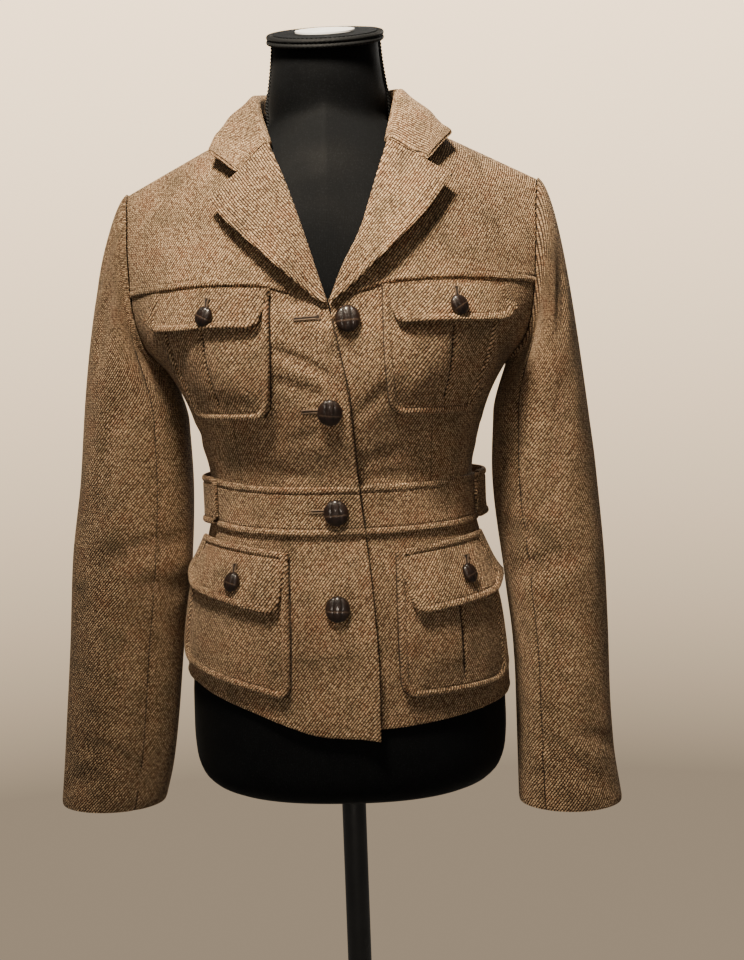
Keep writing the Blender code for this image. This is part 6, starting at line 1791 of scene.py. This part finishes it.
def build_neck_core():
    """Thin slanted disc inside the rim of the neck, its edges softened."""
    bpy.ops.mesh.primitive_cylinder_add(vertices=CORE_SEGMENTS, radius=1.0, depth=CORE_THICKNESS)
    core = bpy.context.object
    bpy.ops.object.mode_set(mode="EDIT")
    bpy.ops.mesh.select_all(action="SELECT")
    bpy.ops.mesh.bevel(offset=CORE_BEVEL, segments=BEVEL_STEPS, affect="EDGES")
    bpy.ops.object.mode_set(mode="OBJECT")
    for vertex in core.data.vertices:
        y = NECK_CENTRE_Y + vertex.co.y * CORE_HALF_DEPTH
        z = NECK_TOP_Z + SEAM + CORE_THICKNESS / 2.0 + vertex.co.z
        vertex.co = (vertex.co.x * CORE_HALF_WIDTH, y, z + neck_slant(y))
    hard_piece(core, "neck_core", "core")


def stand_cylinder(segments, radius, low, high):
    """Upright cylinder of the stand with its place in its mesh."""
    length = high - low
    bpy.ops.mesh.primitive_cylinder_add(vertices=segments, radius=radius, depth=length,
                                        location=(0.0, 0.0, low + length / 2.0))
    bpy.ops.object.transform_apply(location=True, rotation=True, scale=True)
    return bpy.context.object


def finish_stand(piece, node):
    bpy.ops.object.mode_set(mode="OBJECT")
    piece.data.shade_smooth()
    piece.data.set_sharp_from_angle(angle=HARD_SHARP)
    hard_piece(piece, node, "stand_metal")


def build_stand():
    """Round base stepped up to its middle, and the pole on it with softened ends."""
    base = stand_cylinder(BASE_SEGMENTS, BASE_RADIUS, 0.0, BASE_RIM)
    select_faces(base, lambda face: face.center.z > BASE_RIM - STEP)
    for inset, rise in BASE_STEPS:
        bpy.ops.mesh.inset(thickness=inset)
        bpy.ops.transform.translate(value=(0.0, 0.0, rise))
    finish_stand(base, "base")
    pole = stand_cylinder(POLE_SEGMENTS, POLE_RADIUS, BASE_RIM + BASE_RISE + SEAM, FORM_BOTTOM_Z - SEAM)
    select_faces(pole, lambda face: abs(face.normal.z) > 0.5)
    bpy.ops.mesh.bevel(offset=POLE_BEVEL, segments=BEVEL_STEPS, affect="EDGES")
    finish_stand(pole, "pole")


def joined_mesh(name, vertices, faces, finish, slot):
    """One piece of all the stitches, lips or strips gathered in a group."""
    mesh = bpy.data.meshes.new(name)
    mesh.from_pydata(np.concatenate(vertices).tolist(), [], [list(face) for block in faces for face in block])
    mesh.shade_smooth()
    mesh.materials.append(finishes[finish])
    declare(add_object(name, mesh), slot)


def dashes(path, normals, vertices, faces):
    """Short thread stitches laid along a dense path on the cloth."""
    lengths = np.concatenate([[0.0], np.cumsum(np.linalg.norm(np.diff(path, axis=0), axis=1))])
    count = int(lengths[-1] / STITCH_PITCH)
    first = sum(len(block) for block in vertices)
    starts = (np.arange(count) + STITCH_START) * STITCH_PITCH

    def read(values, at):
        return together(*(np.interp(at, lengths, values[:, axis]) for axis in range(3)))

    rings = []
    for share, size in STITCH_SECTIONS:
        at = starts + STITCH_LENGTH * share
        centre, normal = read(path, at), read(normals, at)
        across = np.cross(normal, read(path, at + STITCH_LOOK) - centre)
        across /= np.maximum(np.linalg.norm(across, axis=1, keepdims=True), TINY)
        centre = centre + normal * STITCH_RISE * (size > 0.0)
        for turn in np.radians((0.0, 90.0, 180.0, 270.0)):
            offset = across * math.cos(turn) + normal * math.sin(turn)
            rings.append(centre + offset * STITCH_RADIUS * max(size, STITCH_TIP))
    vertices.append(np.stack(rings, axis=1).reshape(-1, 3))
    quads = []
    for near in range(0, len(rings) - 4, 4):
        for side in range(4):
            after = (side + 1) % 4
            quads.append((near + side, near + after, near + 4 + after, near + 4 + side))
    quads += [(3, 2, 1, 0), tuple(range(len(rings) - 4, len(rings)))]
    base = first + np.arange(count)[:, None, None] * len(rings)
    faces.append((base + np.array(quads)[None]).reshape(-1, 4).tolist())


def ring_tube(path, normals, radius, vertices, faces, sides=6):
    """Thin closed tube along a loop on the cloth."""
    first = sum(len(block) for block in vertices)
    count = len(path)
    across = unit(np.cross(normals, np.roll(path, -1, axis=0) - np.roll(path, 1, axis=0)))
    rings = []
    for turn in np.arange(sides) * 2.0 * math.pi / sides:
        rings.append(path + (across * math.cos(turn) + normals * math.sin(turn)) * radius)
    vertices.append(np.stack(rings, axis=1).reshape(-1, 3))
    j = np.arange(sides)[None, :]
    ring, after = np.arange(count)[:, None] * sides, (j + 1) % sides
    following = np.roll(ring, -1, axis=0)
    quads = together(ring + j, ring + after, following + after, following + j)
    faces.append((first + quads.reshape(-1, 4)).tolist())


def shade_strip(path, normals, radius, group):
    """Dark strip of painted shade along a sunk line: a flat loop of uneven width along a path and back."""
    step = np.gradient(path, axis=0)
    run = np.cumsum(np.linalg.norm(step, axis=1))
    wave = np.mean([np.sin(run * pace) for pace in STRIP_PACES], axis=0)
    half = unit(np.cross(normals, step)) * (radius * (STRIP_MEAN + STRIP_SWAY * wave))[:, None]
    loop = np.concatenate([path + half, (path - half)[::-1]])
    ring_tube(loop, np.concatenate([normals, normals[::-1]]), radius * STRIP_TUBE, *group)


def inset_line(line_x, line_z, distance):
    """Outline moved toward its own middle by a distance."""
    run_x, run_z = np.gradient(line_x), np.gradient(line_z)
    size = np.maximum(np.hypot(run_x, run_z), TINY)
    inward_x, inward_z = -run_z / size, run_x / size
    toward = np.mean(inward_x * (np.mean(line_x) - line_x) + inward_z * (np.mean(line_z) - line_z))
    return line_x + np.sign(toward) * inward_x * distance, line_z + np.sign(toward) * inward_z * distance


def on_surface(surface, x, z, lift=0.0):
    """Points of a lifted surface and its normals along a line."""
    path = surface(x, z, lift)
    return path, unit(surface(x, z, lift + NORMAL_STEP) - path)


def buttonhole(surface, row):
    """Worked lips and the dark slit of one buttonhole, its eye at one end; the slit is a dark tube of painted
    shade.
    """
    hole = dict(zip(BUTTONHOLE_COLUMNS, row))
    turn = math.radians(hole["turn"])
    around = np.linspace(0.0, 2.0 * math.pi, HOLE_POINTS, endpoint=False)
    along = hole["half_length"] * np.clip(HOLE_ENDS * np.cos(around), -1.0, 1.0)
    eye = 1.0 + EYE_WIDENING * ease(*EYE_EDGES, along / hole["half_length"])
    for gap, radius, rise, group in ((LIP_GAP, LIP_RADIUS, LIP_RISE, lips),
                                     (SLIT_GAP, SLIT_RADIUS, SLIT_RISE, slit_shades)):
        away = gap * eye * np.clip(HOLE_SIDES * np.sin(around), -1.0, 1.0)
        x = hole["x"] + along * math.cos(turn) - away * math.sin(turn)
        z = hole["z"] + along * math.sin(turn) + away * math.cos(turn)
        path, normals = on_surface(surface, x, z)
        ring_tube(path + normals * rise, normals, radius, *group)


lips, slit_shades, shades, stitches = ([], []), ([], []), ([], []), ([], [])
finishes = {
    "tweed": tweed("tweed", 1.0),
    "tweed_facing": tweed("tweed_facing", -1.0),
    "leather": leather(),
    "form_cover": form_cover(),
    "braid": plain_finish("braid", COVER_BLACK, COVER_GREY, 900.0, (0.60, 0.80), 0.5, 0.0003,
                          {"Sheen Weight": 0.05, "Specular IOR Level": 0.2}),
    "core": plain_finish("core", CORE_WHITE, CORE_GREY, 500.0, (0.8, 0.95), 0.3, 0.0003, {}),
    "stand_metal": plain_finish("stand_metal", METAL_BLACK, METAL_GREY, 700.0, (0.34, 0.46), 0.08, 0.0002,
                                {"Coat Weight": 0.15}),
    "thread": plain_finish("thread", THREAD_BROWN, THREAD_TAN, 1800.0, (0.6, 0.8), 0.4, 0.0002, {}),
    # Painted shade of buttonhole slits and pleat folds
    "slit": plain_finish("slit", SLIT_SHADE_DARK, SLIT_SHADE_BROWN, 900.0, (0.85, 0.95), 0.2, 0.0002, {}),
    # Painted shade of the strips along edges, seams, ditches and the dart
    "shade": plain_finish("shade", SHADE_DARK, SHADE_BROWN, 420.0, (0.85, 0.95), 0.2, 0.0002, {}),
}

# Jacket
build_front(RIGHT, RIGHT_EDGE_ROWS, RIGHT_HEM_ROWS, RIGHT_FRONT_FOLDS, WAIST_DART)
build_front(LEFT, LEFT_EDGE_ROWS, LEFT_HEM_ROWS, LEFT_FRONT_FOLDS, WAIST_DART)
edge_shadow()
build_yoke(RIGHT, RIGHT_LAPEL_ROWS, RIGHT_YOKE_FOLDS)
build_yoke(LEFT, LEFT_LAPEL_ROWS, LEFT_YOKE_FOLDS)
build_back()
build_lapel(RIGHT, RIGHT_LAPEL_ROWS, RIGHT_NOTCH)
build_lapel(LEFT, LEFT_LAPEL_ROWS, LEFT_NOTCH)
build_collar()
front_button = button_shape(FRONT_BUTTON_RADIUS, FRONT_BUTTON_NARROW)
flap_button = button_shape(FLAP_BUTTON_RADIUS, FLAP_BUTTON_NARROW)
for side, rows, folds in ((RIGHT, RIGHT_SLEEVE_ROWS, RIGHT_SLEEVE_FOLDS),
                          (LEFT, LEFT_SLEEVE_ROWS, LEFT_SLEEVE_FOLDS)):
    build_sleeve("upper_sleeve_", side, rows, BACK_SLEEVE_SEAM - 1.0, FRONT_SLEEVE_SEAM,
                 UPPER_COLUMNS_FINE, folds)
    build_sleeve("under_sleeve_", side, rows, FRONT_SLEEVE_SEAM, BACK_SLEEVE_SEAM, UNDER_COLUMNS_FINE, folds)
for side, flap_row in ((RIGHT, RIGHT_CHEST_FLAP), (LEFT, LEFT_CHEST_FLAP)):
    build_flapped_pocket(side, "chest", CHEST_POCKET_ROWS, CHEST_POCKET_BULGE, 0.0, flap_row, True,
                         CHEST_POCKET_FOLDS)
build_flapped_pocket(RIGHT, "hip", RIGHT_HIP_POCKET_ROWS, HIP_POCKET_BULGE, RIGHT_HIP_RISE, RIGHT_HIP_FLAP,
                     False, HIP_POCKET_FOLDS)
build_flapped_pocket(LEFT, "hip", LEFT_HIP_POCKET_ROWS, HIP_POCKET_BULGE, 0.0, LEFT_HIP_FLAP, True,
                     HIP_POCKET_FOLDS)
build_front_belt(RIGHT, RIGHT_TAB_ANGLE)
build_front_belt(LEFT, LEFT_TAB_ANGLE)
build_back_belt()
for name, x, height, lift in FRONT_BUTTONS:

    def front_surface(x, height):
        return front_point(np.array(x), np.array(height), lift)

    place_button(front_button, name, front_surface, x, height, FRONT_BUTTON_RADIUS)
for row in FRONT_BUTTONHOLES:
    buttonhole(right_front_surface, row)
buttonhole(belt_surface, BELT_BUTTONHOLE)
for scratch_shape in (front_button, flap_button):
    bpy.data.objects.remove(scratch_shape, do_unlink=True)
joined_mesh("buttonhole_lips", *lips, "thread", "tweed")
# Dark tubes and strips of painted shade in slits and pleats, and along edges, seams, ditches and the dart
joined_mesh("slit_shades", *slit_shades, "slit", "tweed")
joined_mesh("seam_shades", *shades, "shade", "tweed")
joined_mesh("edge_stitches", *stitches, "thread", "tweed")

# Dress form and its stand
build_form()
build_neck_trim()
build_neck_core()
build_stand()

# Floor and light
bpy.ops.mesh.primitive_plane_add(size=FLOOR_SIZE, location=(0.0, 0.0, -FLOOR_DROP))
floor = bpy.context.object
floor.name = "floor"
floor.data.materials.append(floor_finish())
for row in LIGHTS:
    light = dict(zip(LIGHT_COLUMNS, row))
    lamp_data = bpy.data.lights.new(light["name"], "AREA")
    lamp_data.size = light["size"]
    lamp_data.spread = math.radians(light["spread"])
    lamp_data.energy = light["power"]
    lamp_data.color = light["colour"]
    lamp = add_object(light["name"], lamp_data)
    lamp.location = light["spot"]
    lamp.rotation_euler = (Vector(light["aim"]) - Vector(light["spot"])).to_track_quat("-Z", "Y").to_euler()
bpy.context.scene.world = studio_world()

# Camera at the photo's angle
azimuth, roll = math.radians(CAMERA_AZIMUTH), math.radians(CAMERA_ROLL)
eye = np.array([CAMERA_DISTANCE * math.sin(azimuth), -CAMERA_DISTANCE * math.cos(azimuth), CAMERA_HEIGHT])
ahead = unit(np.array(CAMERA_TARGET) - eye)
level = unit(np.cross(ahead, [0.0, 0.0, 1.0]))
camera_data = bpy.data.cameras.new("photo_camera")
camera_data.sensor_fit = "VERTICAL"
camera_data.sensor_height = SENSOR
camera_data.lens = FOCAL_PIXELS * SENSOR / PHOTO_HEIGHT
camera_data.clip_start = CAMERA_NEAR
camera = add_object("photo_camera", camera_data)
camera.matrix_world = turned_frame(level, np.cross(level, ahead), -ahead, -roll, eye)
bpy.context.scene.camera = camera
